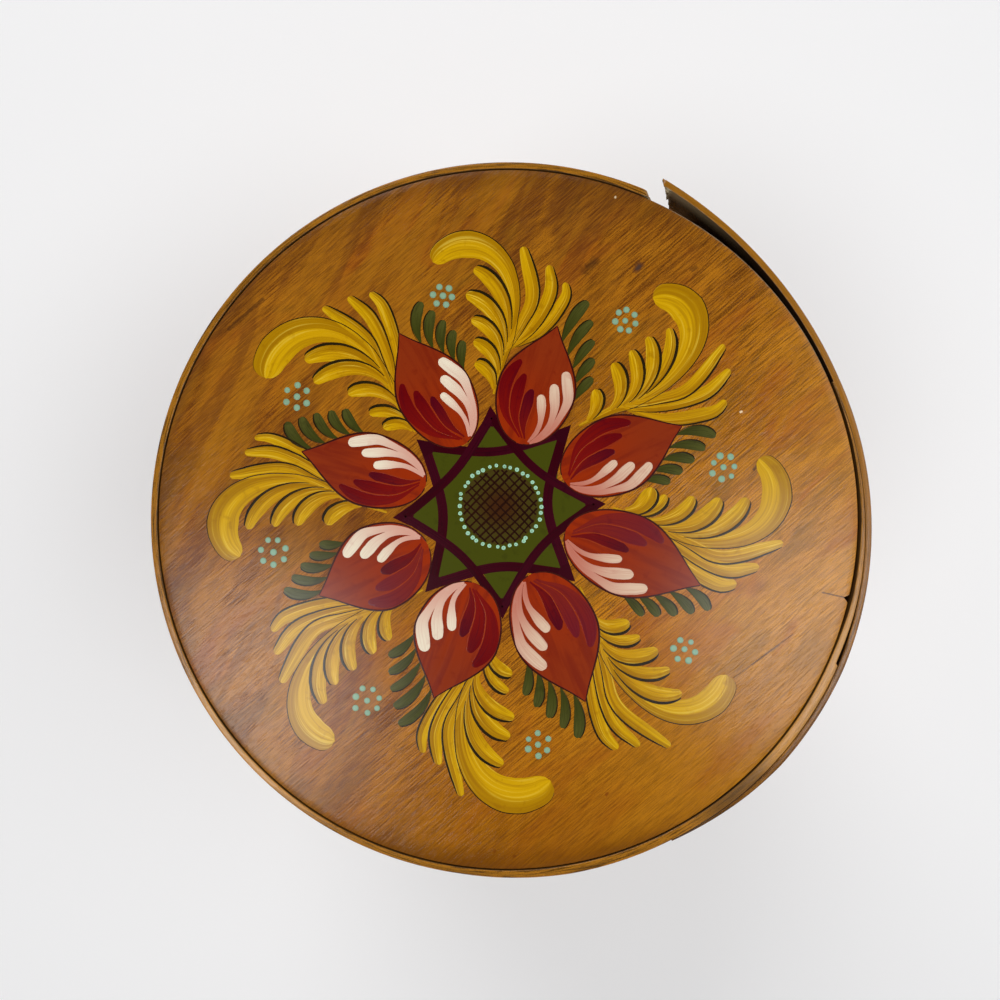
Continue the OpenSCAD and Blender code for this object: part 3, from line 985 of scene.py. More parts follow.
@dataclass
class Wall:
    """The coopered wall: sixteen tapered staves, tongued and grooved."""

    height: float = 275.0
    foot: float = 152.0
    mouth: float = 135.0
    thick: float = 11.0
    count: int = 16
    vary: float = 0.25
    ease: float = 1.0
    arris: float = 0.8
    nick: float = 0.25
    planed: Place = (0.05, 0.4)
    chime: float = 3.0
    croze: Place = (14.0, 22.0)
    croze_depth: float = 4.0
    joint: float = 0.12
    tongue_in: float = 5.0
    tongue: Place = (1.5, 2.0)
    groove: Place = (1.7, 2.2)
    log_length: float = 370.0
    seed: int = 16

    def outside(self, z: float) -> float:
        """Return the outside radius at a height."""
        return self.foot - (self.foot - self.mouth) / self.height * z

    def share(self, index: int) -> float:
        """Return the relative width of a stave."""
        return 1 + self.vary * math.sin(math.radians(137 * (index % (self.count // 2))))

    def span(self, index: int) -> tuple[float, float]:
        """Return the angles that a stave fills.

        Args:
            index: Number of the stave, from 1.
        Returns:
            Its first and last angle in degrees.
        """
        shares = [self.share(i) for i in range(1, self.count + 1)]
        unit = 360 / sum(shares)
        start = unit * (sum(shares[: index - 1]) - shares[0] / 2)
        gap = math.degrees(self.joint / self.mouth)
        return start + gap / 2, start + unit * shares[index - 1] - gap / 2

    def rows(self) -> list[Triple]:
        """Return height, outside and inside radius of each level of a stave."""
        low, high = self.croze
        groove = self.outside(high) - self.thick + self.croze_depth
        ease = self.ease

        def plain(z: float, out: float = 0.0, inn: float = 0.0) -> Triple:
            """Return a level with its faces cut back."""
            return z, self.outside(z) - out, self.outside(z) - self.thick + inn

        return [
            plain(0, ease, self.chime),
            plain(0.3 * ease, 0.3 * ease, self.chime - 0.3 * ease),
            plain(ease, 0, self.chime - ease),
            plain(self.chime),
            plain(low),
            (low, self.outside(low), groove),
            (high, self.outside(high), groove),
            plain(high),
            *(plain(z) for z in np.linspace(40, self.height - 12, 7)),
            plain(self.height - ease),
            plain(self.height - 0.3 * ease, 0.3 * ease, 0.3 * ease),
            plain(self.height, ease, ease),
        ]

    def ring(self, index: int, z: float, outer: float, inner: float, sunk: float) -> np.ndarray:
        """Return the section of a stave at one level.

        Args:
            index: Number of the stave.
            z: Height.
            outer, inner: Radii of its faces.
            sunk: How far its middle is planed below its edges.
        Returns:
            Points in space.
        """
        start, end = self.span(index)
        middle = self.outside(z) - self.tongue_in
        soft = math.degrees(self.arris / outer)
        across = np.linspace(start + soft, end - soft, 9)
        hollow = sunk * np.sin(np.linspace(0, math.pi, 9))
        face = [(a, outer - h) for a, h in zip(across, hollow)]
        half, run = self.tongue
        wide, deep = self.groove
        out = end + math.degrees(run / self.mouth)
        into = start + math.degrees(deep / self.mouth)
        tongue = [(end, half), (out, half), (out, -half), (end, -half)]
        groove = [(start, -wide), (into, -wide), (into, wide), (start, wide)]
        outline = [
            (start, outer - self.arris),
            (start + self.nick * soft, outer - self.nick),
            *face,
            (end - self.nick * soft, outer - self.nick),
            (end, outer - self.arris),
            *((angle, middle + off) for angle, off in tongue),
            *((angle, inner) for angle in np.linspace(end, start, 8)),
            *((angle, middle + off) for angle, off in groove),
        ]
        angles, radii = np.array(outline).T
        return circle(radii, angles, z)

    def build(self) -> None:
        """Make every stave."""
        rng = np.random.default_rng(self.seed)
        levels = self.rows()
        for index in range(1, self.count + 1):
            name = f"stave_{index:02d}"
            sunk = rng.uniform(*self.planed)
            rings = np.array([self.ring(index, *level, sunk) for level in levels])
            around = index + girth(rings[len(rings) // 2]) * MM
            runs = [(z + self.log_length * index) * MM for z, _, _ in levels]
            draft = Draft("wood_" + name)
            draft.loft(rings, np.array([[(run, v) for v in around] for run in runs]))
            fit(draft.make(STAVE_WOOD), "bucket", "stave_wood", name)


HOOP_TACK = (2.9, 0.9, 0.9, 2.0)
LAP_TACK = (2.9, 0.9, 0.9, 4.0)
LID_BRAD = (1.25, 0.5, 0.7, 10.0)
NAIL_WOBBLE = 0.03
NAIL_SEAT = 0.1


def nail_spot(angle: float, reach: float, z: float) -> Spot:
    """Return the place, aim and size of a nail that is driven into a round wall."""
    x, y = heading(angle)
    return ((reach - NAIL_SEAT) * x, (reach - NAIL_SEAT) * y, z), (x, y, 0.0), 1.0


def tack_shape(name: str, head: float, height: float, shank: float, length: float) -> Draft:
    """Draw a tack with a hammered dome head, its shank towards -Z.

    Args:
        name: Name of the draft.
        head, height: Radius and height of the head.
        shank, length: Radius and length of the shank.
    Returns:
        The draft.
    """
    dome = ((0.94, 0.0), (1.0, 0.14), (0.93, 0.36), (0.7, 0.7), (0.4, 0.92))
    shaft = [(0.05, -length), (shank, shank - length), (shank, 0.0)]
    crown = [(share * head, rise * height) for share, rise in dome]
    return lathe(name, [*shaft, *crown, (0.05, height)], 14)


@dataclass
class WallHoop:
    """A bent strip round the wall, lapped on itself and tacked."""

    name: str
    low: float
    width: float
    lap_at: float
    index: int
    wall: Wall
    thick: float = 4.0
    lap: float = 46.0
    skive: float = 24.0
    thin: float = 14.0
    thin_share: float = 0.35
    tongue_end: float = 0.45
    seat: float = 0.07
    ply: float = 0.1
    ease: float = 0.9
    tacks: Path = ((4, 0.5), (15, 0.28), (15, 0.72), (28, 0.25), (28, 0.75))

    def depth(self, run: float) -> float:
        """Return the thickness at a number of degrees from the inner end."""
        worn = self.thin_share + (1 - self.thin_share) * (360 + self.lap - run) / self.thin
        return max(0.3, self.thick * min(1, run / self.skive, worn))

    def lift(self, run: float) -> float:
        """Return how far the strip stands off the wall where it laps itself."""
        return 0.0 if run < 360 else self.depth(run - 360) + self.ply

    def half(self, run: float) -> float:
        """Return half the width, which narrows over the outer end."""
        share = self.tongue_end + (1 - self.tongue_end) * (360 + self.lap - run) / (self.lap / 2)
        return self.width / 2 * min(1.0, share)

    def outside(self, run: float, z: float) -> float:
        """Return the outside radius."""
        return self.wall.outside(z) + self.seat + self.lift(run) + self.depth(run)

    def build(self, scatter: Scatter) -> None:
        """Make the strip and its tacks.

        Args:
            scatter: Lays the tacks.
        """
        middle = self.low + self.width / 2
        slope = (self.wall.foot - self.wall.mouth) / self.wall.height
        rings, grain = [], []
        for run in np.arange(0, 360 + self.lap + 0.01, 1.0):
            half, base = self.half(run), self.wall.outside(middle) + self.seat + self.lift(run)
            ring = bar_ring(base, base + self.depth(run), middle - half, middle + half, self.ease)
            ring[:, 0] -= slope * (ring[:, 1] - middle)
            along = math.radians(run) * base * MM + self.index
            rings.append(polar(run + self.lap_at - self.lap / 2, ring))
            grain.append([(along, self.index + v * MM) for v in girth(ring)])
        draft = Draft("wood_" + self.name)
        draft.loft(np.array(rings), np.array(grain))
        fit(draft.make(HOOP_WOOD), "bucket", "hoop_wood", self.name)
        spots = []
        for back, share in self.tacks:
            run, z = 360 + self.lap - back, self.low + self.width * share
            spots.append(nail_spot(run + self.lap_at - self.lap / 2, self.outside(run, z), z))
        shape = tack_shape("tack_model", *HOOP_TACK)
        laid = scatter.lay("iron_" + self.name, shape, TACK_IRON, spots, NAIL_WOBBLE)
        fit(laid, "bucket", "tack_iron", self.name + "_tacks")


@dataclass
class Bail:
    """The bent wooden bail with a bored eye at each end."""

    pivot: float = 233.0
    rest: float = 30.0
    leg: float = 30.0
    half: float = 10.0
    eye: float = 11.0
    taper: float = 14.0
    tip: float = 0.6
    ease: float = 2.0
    bore: float = 5.05
    pad: float = 143.046
    inner: float = 147.546
    outer: float = 154.046

    def station(self, s: float) -> Place:
        """Return the inner face and half width of a leg.

        Args:
            s: Distance from the pivot towards the arch.
        Returns:
            Place of the inner face, and half width.
        """
        face = self.pad + (self.inner - self.pad) * eased((s - self.eye) / (self.leg - self.eye))
        if s < 0:
            return face, max(self.tip, math.sqrt(max(0.0, self.eye**2 - s**2)))
        return face, self.eye + (self.half - self.eye) * min(1.0, s / self.taper)

    def rows(self) -> list[tuple[float, ...]]:
        """Return start, heading, inner face, half width and run of each station."""
        ends = -self.eye * np.cos(np.linspace(0, math.pi / 2, 9))
        steps = np.concatenate([ends, np.linspace(2, self.leg, 11)])
        bend = math.pi * (self.inner + self.outer) / 2
        turns = np.linspace(0, 180, 91)[1:-1]
        right = [(s, 0.0, *self.station(s), s) for s in steps]
        arch = [(self.leg, a, self.inner, self.half, self.leg + bend * a / 180) for a in turns]
        left = [(s, 180.0, *self.station(s), 2 * self.leg + bend - s) for s in steps[::-1]]
        return right + arch + left

    def build(self) -> None:
        """Make the bail, then bore its eyes for the pegs."""
        rings, grain = [], []
        tilt = np.array(Euler((math.radians(180 + self.rest), 0, 0)).to_matrix())
        for start, turn, face, half, run in self.rows():
            ring = bar_ring(face, self.outer, -half, half, self.ease)
            rings.append((polar(turn, ring) + (0, start, 0)) @ tilt.T + (0, 0, self.pivot))
            grain.append([(run * MM, 5 + v * MM) for v in girth(ring)])
        draft = Draft("wood_bail")
        draft.loft(np.array(rings), np.array(grain))
        made = draft.make(BAIL_WOOD)
        drill = lathe("drill", [(self.bore, -200.0), (self.bore, 200.0)], 48)
        drill.points = [(z, y, x + self.pivot) for x, y, z in drill.points]
        cutter = drill.make(BAIL_WOOD)
        modifier = made.modifiers.new("bore", "BOOLEAN")
        modifier.operation, modifier.solver, modifier.object = "DIFFERENCE", "EXACT", cutter
        bored = bpy.data.meshes.new_from_object(made.evaluated_get(bpy.context.evaluated_depsgraph_get()))
        made.modifiers.remove(modifier)
        made.data = bored
        bored.set_sharp_from_angle(angle=CREASE)
        bpy.data.objects.remove(cutter)
        fit(made, "bail", "bail_wood", "bail")


@dataclass
class Pegs:
    """Two turned pegs, through the bail's eyes, the upper hoop and a stave."""

    pivot: float = 233.0
    radius: float = 5.0
    tail: float = 116.0
    head_at: float = 154.346
    head: float = 9.5
    dome: float = 4.0
    dome_radius: float = 14.5
    cap: tuple[float, ...] = (9.5, 9.0, 8.2, 7.0, 5.6, 4.0, 2.2, 0.05)

    def build(self) -> None:
        """Make both pegs."""
        centre = self.head_at + self.dome - self.dome_radius
        foot = ((-0.9, 0.0), (-0.2, 0.5), (0.0, 1.2), (0.0, self.head_at - self.tail))
        profile = [(self.radius + out, self.tail + up) for out, up in foot]
        profile += [(self.head - 0.4, self.head_at), (self.head, self.head_at + 0.25)]
        profile += [(r, centre + math.sqrt(self.dome_radius**2 - r * r)) for r in self.cap]
        for side, name in ((1, "bail_peg_right"), (-1, "bail_peg_left")):
            draft = lathe("wood_" + name, profile, 32)
            draft.points = [(side * z, y, self.pivot + x) for x, y, z in draft.points]
            draft.grain = [(u, v + 7 + side) for u, v in draft.grain]
            fit(draft.make(PEG_WOOD), "bucket", "peg_wood", name)


@dataclass
class LidBoard:
    """The round board, one plank with worn edges and a chip."""

    low: float
    top: float
    radius: float = 136.95
    ease: float = 0.3
    chip_at: float = 346.9
    chip_depth: float = 2.2
    chip_slope: float = 0.77
    chip_floor: float = 6.0
    wear: float = 0.16
    seed: int = 7

    def angles(self) -> np.ndarray:
        """Return the angles of the rim's points, closer together at the chip."""
        plain = np.arange(0, 360, 1.5)
        fine = self.chip_at + np.linspace(-1.6, 1.6, 17)
        far = np.abs(plain - self.chip_at) > 1.7
        return np.sort(np.concatenate([plain[far], fine]))

    def bite(self, angle: float, radius: float, z: float) -> float:
        """Return the radius of a point after the chip is out.

        Args:
            angle: Its direction in degrees.
            radius: Its radius before.
            z: Its height.
        Returns:
            Its radius.
        """
        if z < self.top - self.chip_floor:
            return radius
        aside = abs(math.radians(angle - self.chip_at) * self.radius)
        return min(radius, self.radius - self.chip_depth + aside / self.chip_slope)

    def build(self) -> None:
        """Make the board."""
        rng = np.random.default_rng(self.seed)
        angles = self.angles()
        wave = np.cumsum(rng.normal(0, 1, len(angles)))
        wave -= np.linspace(0, wave[-1], len(wave))
        wear = self.wear * (wave - wave.min()) / np.ptp(wave)
        rim, low, top, ease = self.radius, self.low, self.top, self.ease
        floor = top - self.chip_floor
        under = [(0.4, low), (60.0, low), (120.0, low), (rim - 0.4, low), (rim, low + 0.4)]
        side = [(rim, floor - 0.05), (rim, floor), (rim, top - ease)]
        side += [(rim - 0.2 * ease, top - 0.42 * ease), (rim - 0.5 * ease, top - 0.14 * ease)]
        above = [(r, top) for r in (rim - 1.1 * ease, rim - 3.2, rim - 8.0, 100.0, 50.0, 0.4)]
        rings = []
        for radius, z in under + side + above:
            worn = wear if radius > rim - 1.5 else np.zeros(len(angles))
            reach = [self.bite(a, radius - w, z) for a, w in zip(angles, worn)]
            rings.append(circle(reach, angles, z))
        draft = Draft("wood_lid_board")
        flat = np.array(rings)
        grain = np.concatenate([flat[:, :, :2], flat[:, :1, :2]], axis=1) * MM
        draft.loft(flat, grain)
        fit(draft.make(LID_WOOD), "lid", "lid_wood", "lid_board")


@dataclass
class LidHoop:
    """The lid's bent hoop: main strip, sprung lap, the break between them, brads and tacks."""

    low: float
    top: float
    inner: float = 137.25
    thick: float = 2.4
    swell: Path = ((262, 2.4), (280, 3.3), (297, 3.3), (311, 3.7))
    main_break: Place = (61.2, 67.2)
    main_rise: Path = ((-6.0, 0.0), (-2.1, 0.5), (-1.5, 0.9), (-0.5, 1.0))
    notch: Place = (336.0, 2.75)
    settle: float = 14.0
    inner_end: float = 383.0
    lap_start: Place = (297.0, 318.0)
    lap_thick: float = 2.5
    lap_rest: float = 138.1
    lap_gaps: Place = (0.08, 0.12)
    spring: Triple = (385.0, 425.0, 5.7)
    lap_break: Place = (419.0, 425.0)
    feather: float = 0.3
    brad_depth: float = 6.6
    brad_count: int = 13
    brad_first: float = 19.0
    loose_brad: float = 59.0
    board: float = 136.35
    tack_angles: tuple[float, ...] = (306.0, 324.0, 343.0)
    tack_rows: tuple[float, ...] = (0.25, 0.6)

    def depth(self, angle: float) -> float:
        """Return the thickness of the main strip.

        Args:
            angle: Degrees, running on past 360 to its inner end.
        Returns:
            Thickness.
        """
        at, left = self.notch
        if angle > at:
            return self.feather + (left - self.feather) * (self.inner_end - angle) / (self.inner_end - at)
        places, sizes = zip(*self.swell)
        return float(np.interp(angle, places, sizes))

    def left(self, angle: float) -> float:
        """Return the share of the main strip's thickness that is left beside the break.

        Args:
            angle: Degrees.
        Returns:
            Share from 0 to 1.
        """
        splinter = 0.4 + 0.16 * ((angle * 2.7) % 1.0)
        steps = ((-1.8, 0.1), (-1.4, 0.3), (-0.5, splinter), (-0.3, 0.74), (0.0, 0.92), (0.4, 1.0))
        return float(np.interp(angle - self.main_break[1], *zip(*steps)))

    def rest(self, angle: float) -> float:
        """Return the inner radius of the main strip, whose skived end keeps to the lap."""
        beside = self.lap_inner(angle) - self.depth(angle) - self.lap_gaps[0]
        return self.inner + (beside - self.inner) * eased((angle - self.notch[0]) / self.settle)

    def lap_inner(self, angle: float) -> float:
        """Return the inner radius of the lap.

        Args:
            angle: Degrees, running on past 360 to its break.
        Returns:
            Radius.
        """
        at = self.notch[0]
        on_hoop = self.inner + self.depth(min(angle, at)) + self.lap_gaps[1]
        if angle < at:
            return on_hoop
        if angle < self.inner_end:
            return on_hoop + (self.lap_rest - on_hoop) * (angle - at) / (self.inner_end - at)
        start, end, out = self.spring
        return self.lap_rest + out * (max(0.0, angle - start) / (end - start)) ** 2

    def lap_depth(self, angle: float) -> float:
        """Return the thickness of the lap."""
        start, full = self.lap_start
        return self.feather + (self.lap_thick - self.feather) * min(1.0, (angle - start) / (full - start))

    def outside(self, angle: float) -> float:
        """Return the outside radius of what is there at an angle from 0 to 360.

        Args:
            angle: Degrees.
        Returns:
            Radius.
        """
        if angle >= self.lap_start[0]:
            return self.lap_inner(angle) + self.lap_depth(angle)
        if angle < self.inner_end - 360:
            return self.lap_inner(angle + 360) + self.lap_depth(angle + 360)
        if angle < self.main_break[1]:
            return self.board + 1.8
        return self.inner + self.depth(angle)

    def jag(self, share: float, phase: float) -> float:
        """Return how far splinters reach past a straight break."""
        saw = sum((share * count + phase) % 1.0 / count for count in (4.3, 9.7, 17.0))
        return 16.0 * (saw - 0.2) * math.sin(math.pi * share)

    def strip(self, name: str, rows: list[tuple[float, ...]], index: int) -> Draft:
        """Bend a strip through a row of stations.

        Args:
            name: Name of the draft.
            rows: Angle, inner radius, thickness, low and high edge of each station.
            index: Makes one strip's grain unlike the other's.
        Returns:
            The draft.
        """
        rings, grain = [], []
        round_trip = 2 * (self.top - self.low + self.thick)
        for angle, inner, depth, low, high in rows:
            ring = bar_ring(inner, inner + depth, low, high, 0.3)
            rings.append(polar(angle, ring))
            up = ring[:, 1] - self.low
            across = np.where(np.arange(len(ring)) < len(ring) // 2, up, round_trip - self.thick - up)
            across = np.append(across, across[0] + round_trip)
            grain.append([(math.radians(angle) * inner * MM, index + v * MM) for v in across])
        draft = Draft(name)
        draft.loft(np.array(rings), np.array(grain))
        return draft

    def build(self, scatter: Scatter) -> None:
        """Make both strips, the brads and the tacks.

        Args:
            scatter: Lays the brads and the tacks.
        """
        full = self.top - self.low
        start, whole = self.main_break
        notch = self.notch[0]
        rows = []
        for angle in np.arange(start, whole, 0.2):
            share = (angle - start) / (whole - start)
            rise = float(np.interp(angle - whole, *zip(*self.main_rise)))
            high = self.low + max(0.4, min(full, full * rise + 0.5 * self.jag(share, 0.3)))
            rows.append((angle, self.inner, self.depth(angle) * self.left(angle), self.low, high))
        spans = [(whole, 70, 0.3), (70, notch, 1.0), (notch, notch + 0.4, 0.3)]
        spans.append((notch + 1, self.inner_end + 0.1, 1.0))
        for angle in np.concatenate([np.arange(*span) for span in spans]):
            rows.append((angle, self.rest(angle), self.depth(angle) * self.left(angle), self.low, self.top))
        main = self.strip("wood_lid_hoop", rows, 2)
        fit(main.make(LID_HOOP_WOOD), "lid", "lid_hoop_wood", "lid_hoop")
        whole, end = self.lap_break
        rows = []
        spans = ((self.lap_start[0], whole, 1.0), (whole, end + 0.01, 0.2))
        for angle in np.concatenate([np.arange(*span) for span in spans]):
            share = (angle - whole) / (end - whole)
            torn = full * share + self.jag(share, 0.8) if angle >= whole else 0.0
            low = self.low + max(0.0, min(full - 0.4, torn))
            rows.append((angle, self.lap_inner(angle), self.lap_depth(angle), low, self.top))
        inner, depth = self.lap_inner(end), self.lap_depth(end)
        for past, gone in ((0.3, 0.45), (0.56, 0.85)):
            rows.append((end + past, inner + gone * depth, (1 - gone) * depth, low, self.top - gone))
        lap = self.strip("wood_lid_hoop_lap", rows, 3)
        fit(lap.make(LID_HOOP_WOOD), "lid", "lid_hoop_wood", "lid_hoop_lap")
        self.nail(scatter)

    def nail(self, scatter: Scatter) -> None:
        """Drive the brads into the board and the tacks into the lap.

        Args:
            scatter: Lays them.
        """
        angles = [self.brad_first + 360 * i / self.brad_count for i in range(self.brad_count)]
        brads = [(a, self.top - self.brad_depth) for a in (*angles, self.loose_brad)]
        rows = [self.low + (self.top - self.low) * r for r in self.tack_rows]
        tacks = [(a, z) for a in self.tack_angles for z in rows]
        for node, sizes, places in (("lid_brads", LID_BRAD, brads), ("lid_lap_tacks", LAP_TACK, tacks)):
            spots = [nail_spot(a % 360, self.outside(a % 360), z) for a, z in places]
            shape = tack_shape(node + "_model", *sizes)
            laid = scatter.lay("iron_" + node, shape, TACK_IRON, spots, NAIL_WOBBLE)
            fit(laid, "lid", "tack_iron", node)


def curve_through(points: np.ndarray, count: int, ease: float = 1.0) -> np.ndarray:
    """Return a smooth path through points.

    Args:
        points: Points in plan.
        count: How many points the path has.
        ease: Above 1, the points crowd towards the end of the path.
    Returns:
        The path.
    """
    padded = np.vstack([2 * points[0] - points[1], points, 2 * points[-1] - points[-2]])
    fine = []
    for i in range(1, len(padded) - 2):
        before, start, end, after = padded[i - 1 : i + 3]
        for t in np.linspace(0, 1, 16, endpoint=False):
            bend = 2 * before - 5 * start + 4 * end - after
            twist = 3 * start - before - 3 * end + after
            fine.append(0.5 * (2 * start + (end - before) * t + bend * t**2 + twist * t**3))
    fine.append(points[-1])
    line = np.array(fine)
    run = lengths(line)
    at = run[-1] * crowded(count, ease)
    return np.column_stack([np.interp(at, run, line[:, 0]), np.interp(at, run, line[:, 1])])


def crowded(count: int, ease: float) -> np.ndarray:
    """Return shares of a path from 0 to 1 that crowd towards its end."""
    return 1 - (1 - np.linspace(0, 1, count)) ** ease


def toward(start: np.ndarray, end: np.ndarray) -> np.ndarray:
    """Return the direction from one place to another, one unit long."""
    return (end - start) / np.linalg.norm(end - start)


def round_off(path: np.ndarray, half: np.ndarray) -> np.ndarray:
    """Round the end of a mark.

    Args:
        path: Its path.
        half: Its half widths, blunt at the end.
    Returns:
        Half widths with a round end.
    """
    steps = np.linalg.norm(np.diff(path, axis=0), axis=1)
    left = np.concatenate([np.cumsum(steps[::-1])[::-1], [0.0]])
    past = np.clip(1 - left / max(half[-1], 1e-6), 0, 1)
    return np.maximum(half * np.sqrt(1 - past**2), 0.04)


def comma(
    points: np.ndarray, half: float, lift: float, tail: float = 0.1, tip: float = 0.25, swell: float = 1.2
) -> Stroke:
    """Return a comma mark: thin at its tail, full past its middle, drawn in to a rounded tip.

    Args:
        points: Path from tail to tip.
        half: Greatest half width.
        lift: Height on the board.
        tail, tip: Shares of the width at both ends.
        swell: Above 1, the width comes later.
    Returns:
        The mark.
    """
    path = curve_through(points, 30, 1.5)
    run = crowded(30, 1.5)
    grown = tail + (1 - tail) * np.sin(math.pi / 2 * np.clip(run / 0.7, 0, 1)) ** swell
    drawn = 1 - (1 - tip) * np.clip((run - 0.7) / 0.3, 0, 1) ** 2
    return Stroke(path, round_off(path, half * grown * drawn), lift)


def dab(points: np.ndarray, half: float, lift: float) -> Stroke:
    """Return a mark with a heavy head on an even tail.

    Args:
        points: Path from tail to head.
        half: Greatest half width.
        lift: Height on the board.
    Returns:
        The mark.
    """
    path = curve_through(points, 36, 1.4)
    run = crowded(36, 1.4)
    wide = np.interp(run, (0, 0.16, 0.48, 0.76, 0.92, 1), (0.12, 0.46, 0.54, 1, 0.92, 0.66))
    wide = np.convolve(np.pad(wide, 2, "edge"), np.full(5, 0.2), "valid")
    return Stroke(path, round_off(path, half * wide), lift)


@dataclass(frozen=True)
class Bud:
    """One bud in the ornament's units: radius and angle of both ends, and its greatest half width."""

    base: Place
    tip: Place
    half: float

    def spot(self, along: float, across: float) -> np.ndarray:
        """Return a place on the bud.

        Args:
            along: From its base, 0, to its tip, 1.
            across: To its left, in greatest half widths.
        Returns:
            The place in plan.
        """
        base, tip = (r * heading(angle) for r, angle in (self.base, self.tip))
        run = tip - base
        left = np.array((-run[1], run[0])) / np.linalg.norm(run)
        return base + run * along + left * across * self.half

    @staticmethod
    def width(along: float) -> float:
        """Return the half width in greatest half widths.

        Args:
            along: From its base, 0, to its tip, 1.
        Returns:
            Half width.
        """
        if along < 0.46:
            return math.sqrt(max(0.0, 1 - ((0.46 - along) / 0.46) ** 2))
        return math.cos(math.pi / 2 * min(1.0, (along - 0.46) / 0.54)) ** 1.22

    def holds(self, radius: float, angle: float) -> bool:
        """Tell whether a place lies on the bud.

        Args:
            radius, angle: The place.
        Returns:
            True if it does.
        """
        base, tip, left = self.spot(0, 0), self.spot(1, 0), self.spot(0, 1)
        off = radius * heading(angle) - base
        along = float(off @ (tip - base) / ((tip - base) @ (tip - base)))
        across = float(off @ (left - base) / ((left - base) @ (left - base)))
        return 0 < along < 1 and abs(across) < self.width(along)


def arc(start: Place, end: Place, sweep: float = 65.0, count: int = 7, past: float = 1.0) -> list[Place]:
    """Return a bend that leaves its start outward and leans over towards its end.

    Args:
        start, end: Radius and turn of both ends.
        sweep: Degrees of an ellipse between them.
        count: How many points.
        past: Share of the bend that is drawn, above 1 to go on past the end.
    Returns:
        Radius and turn of each point.
    """
    whole = math.radians(sweep)
    bend = []
    for at in np.linspace(0, whole * past, count):
        rise, lean = math.sin(at) / math.sin(whole), (1 - math.cos(at)) / (1 - math.cos(whole))
        bend.append((start[0] + (end[0] - start[0]) * rise, start[1] + (end[1] - start[1]) * lean))
    return bend


@dataclass(frozen=True)
class Scroll:
    """One yellow scroll and its leaves, by radius and by turn from the gap between two buds."""

    gap: float
    trunk: float
    head: tuple[float, float, float, float]
    sway: float
    fan: tuple[Triple, ...]
    curls: tuple[Triple, ...]
    leaves: tuple[Place, Place, Place, Place]

    def root(self, radius: float) -> float:
        """Return the turn of the trunk."""
        shares = (0.22, 0.46, 0.66, 0.88, 1.0)
        return float(np.interp(radius, (113, 130, 148, 168, 195), shares)) * self.trunk

    def stem(self) -> tuple[list[Place], list[float]]:
        """Return the middle line of the trunk and its head, with half widths."""
        crest, middle, tip, half = self.head
        end = math.degrees(math.acos(1 - (tip - self.trunk) / (middle - self.trunk)))
        line = [(r, self.root(r)) for r in (113, 130, 148, 168)]
        line += arc((195, self.trunk), (crest, middle), 90.0, 10, end / 90)
        shares = (0.34, 0.54, 0.82, 1.0, 0.84, 0.55)
        swell = np.interp(np.linspace(0, end, 10), (0, 30, 60, 85, 105, 125), shares)
        return line, [1.2, 2.4, 3.8, 5.2, *(half * swell)]

    def fan_path(self, order: int) -> list[Place]:
        """Return the path of a curl on the right of the trunk.

        Args:
            order: Which, counted from the trunk.
        Returns:
            Radius and turn of each point.
        """
        radius, turn, _ = self.fan[order]
        start = (152 + 3 * order, self.root(152 + 3 * order) - 0.4 * order)
        full, belly = ((0.58, 4.3), (0.7, 2.0), (0.78, 1.1))[order]
        out = turn - belly * self.sway
        rise = radius - start[0]
        early = (start[0] + 0.3 * rise, start[1] + 0.72 * (out - start[1]))
        return [start, early, (start[0] + full * rise, out), (radius, turn)]

    def curl_path(self, order: int) -> list[Place]:
        """Return the path of a curl on the left of the trunk.

        Args:
            order: Which, counted from the head.
        Returns:
            Radius and turn of each point.
        """
        radius, turn, _ = self.curls[order]
        low = max(116, radius - (70, 58, 44, 36, 28)[order])
        return arc((low, self.root(low) + 0.5), (radius, turn))

    def leaf_path(self, share: float, bud: Bud) -> list[Place]:
        """Return the path of a leaf that grows from the edge of a bud.

        Args:
            share: Which, from the outermost, 0, to the innermost, 1.
            bud: The bud.
        Returns:
            Radius and turn of each point.
        """
        first, second, third, fourth = (np.array(end) for end in self.leaves)
        tail, tip = first + (third - first) * share, second + (fourth - second) * share
        for back in np.linspace(0.88, 1.5, 32):
            root = tip + (tail - tip) * back
            if bud.holds(root[0], root[1] + self.gap):
                break
        return arc(tuple(root), tuple(tip), 55.0)


@dataclass(frozen=True)
class Coats:
    """Heights of the coats of paint over the board in millimetres, so that no two lie level."""

    under: float = -0.2
    stem: float = 0.01
    curl: float = 0.014
    star: float = 0.015
    leaf: float = 0.02
    lattice: float = 0.025
    bands: Place = (0.04, 0.03)
    thread: float = 0.035
    stem_edge: float = 0.038
    edge: float = 0.04
    star_tip: float = 0.042
    bud: float = 0.05
    outline: float = 0.055
    petal: float = 0.07
    petal_edge: float = 0.085
    curl_step: float = 0.002
    leaf_step: float = 0.003
    petal_step: float = 0.004


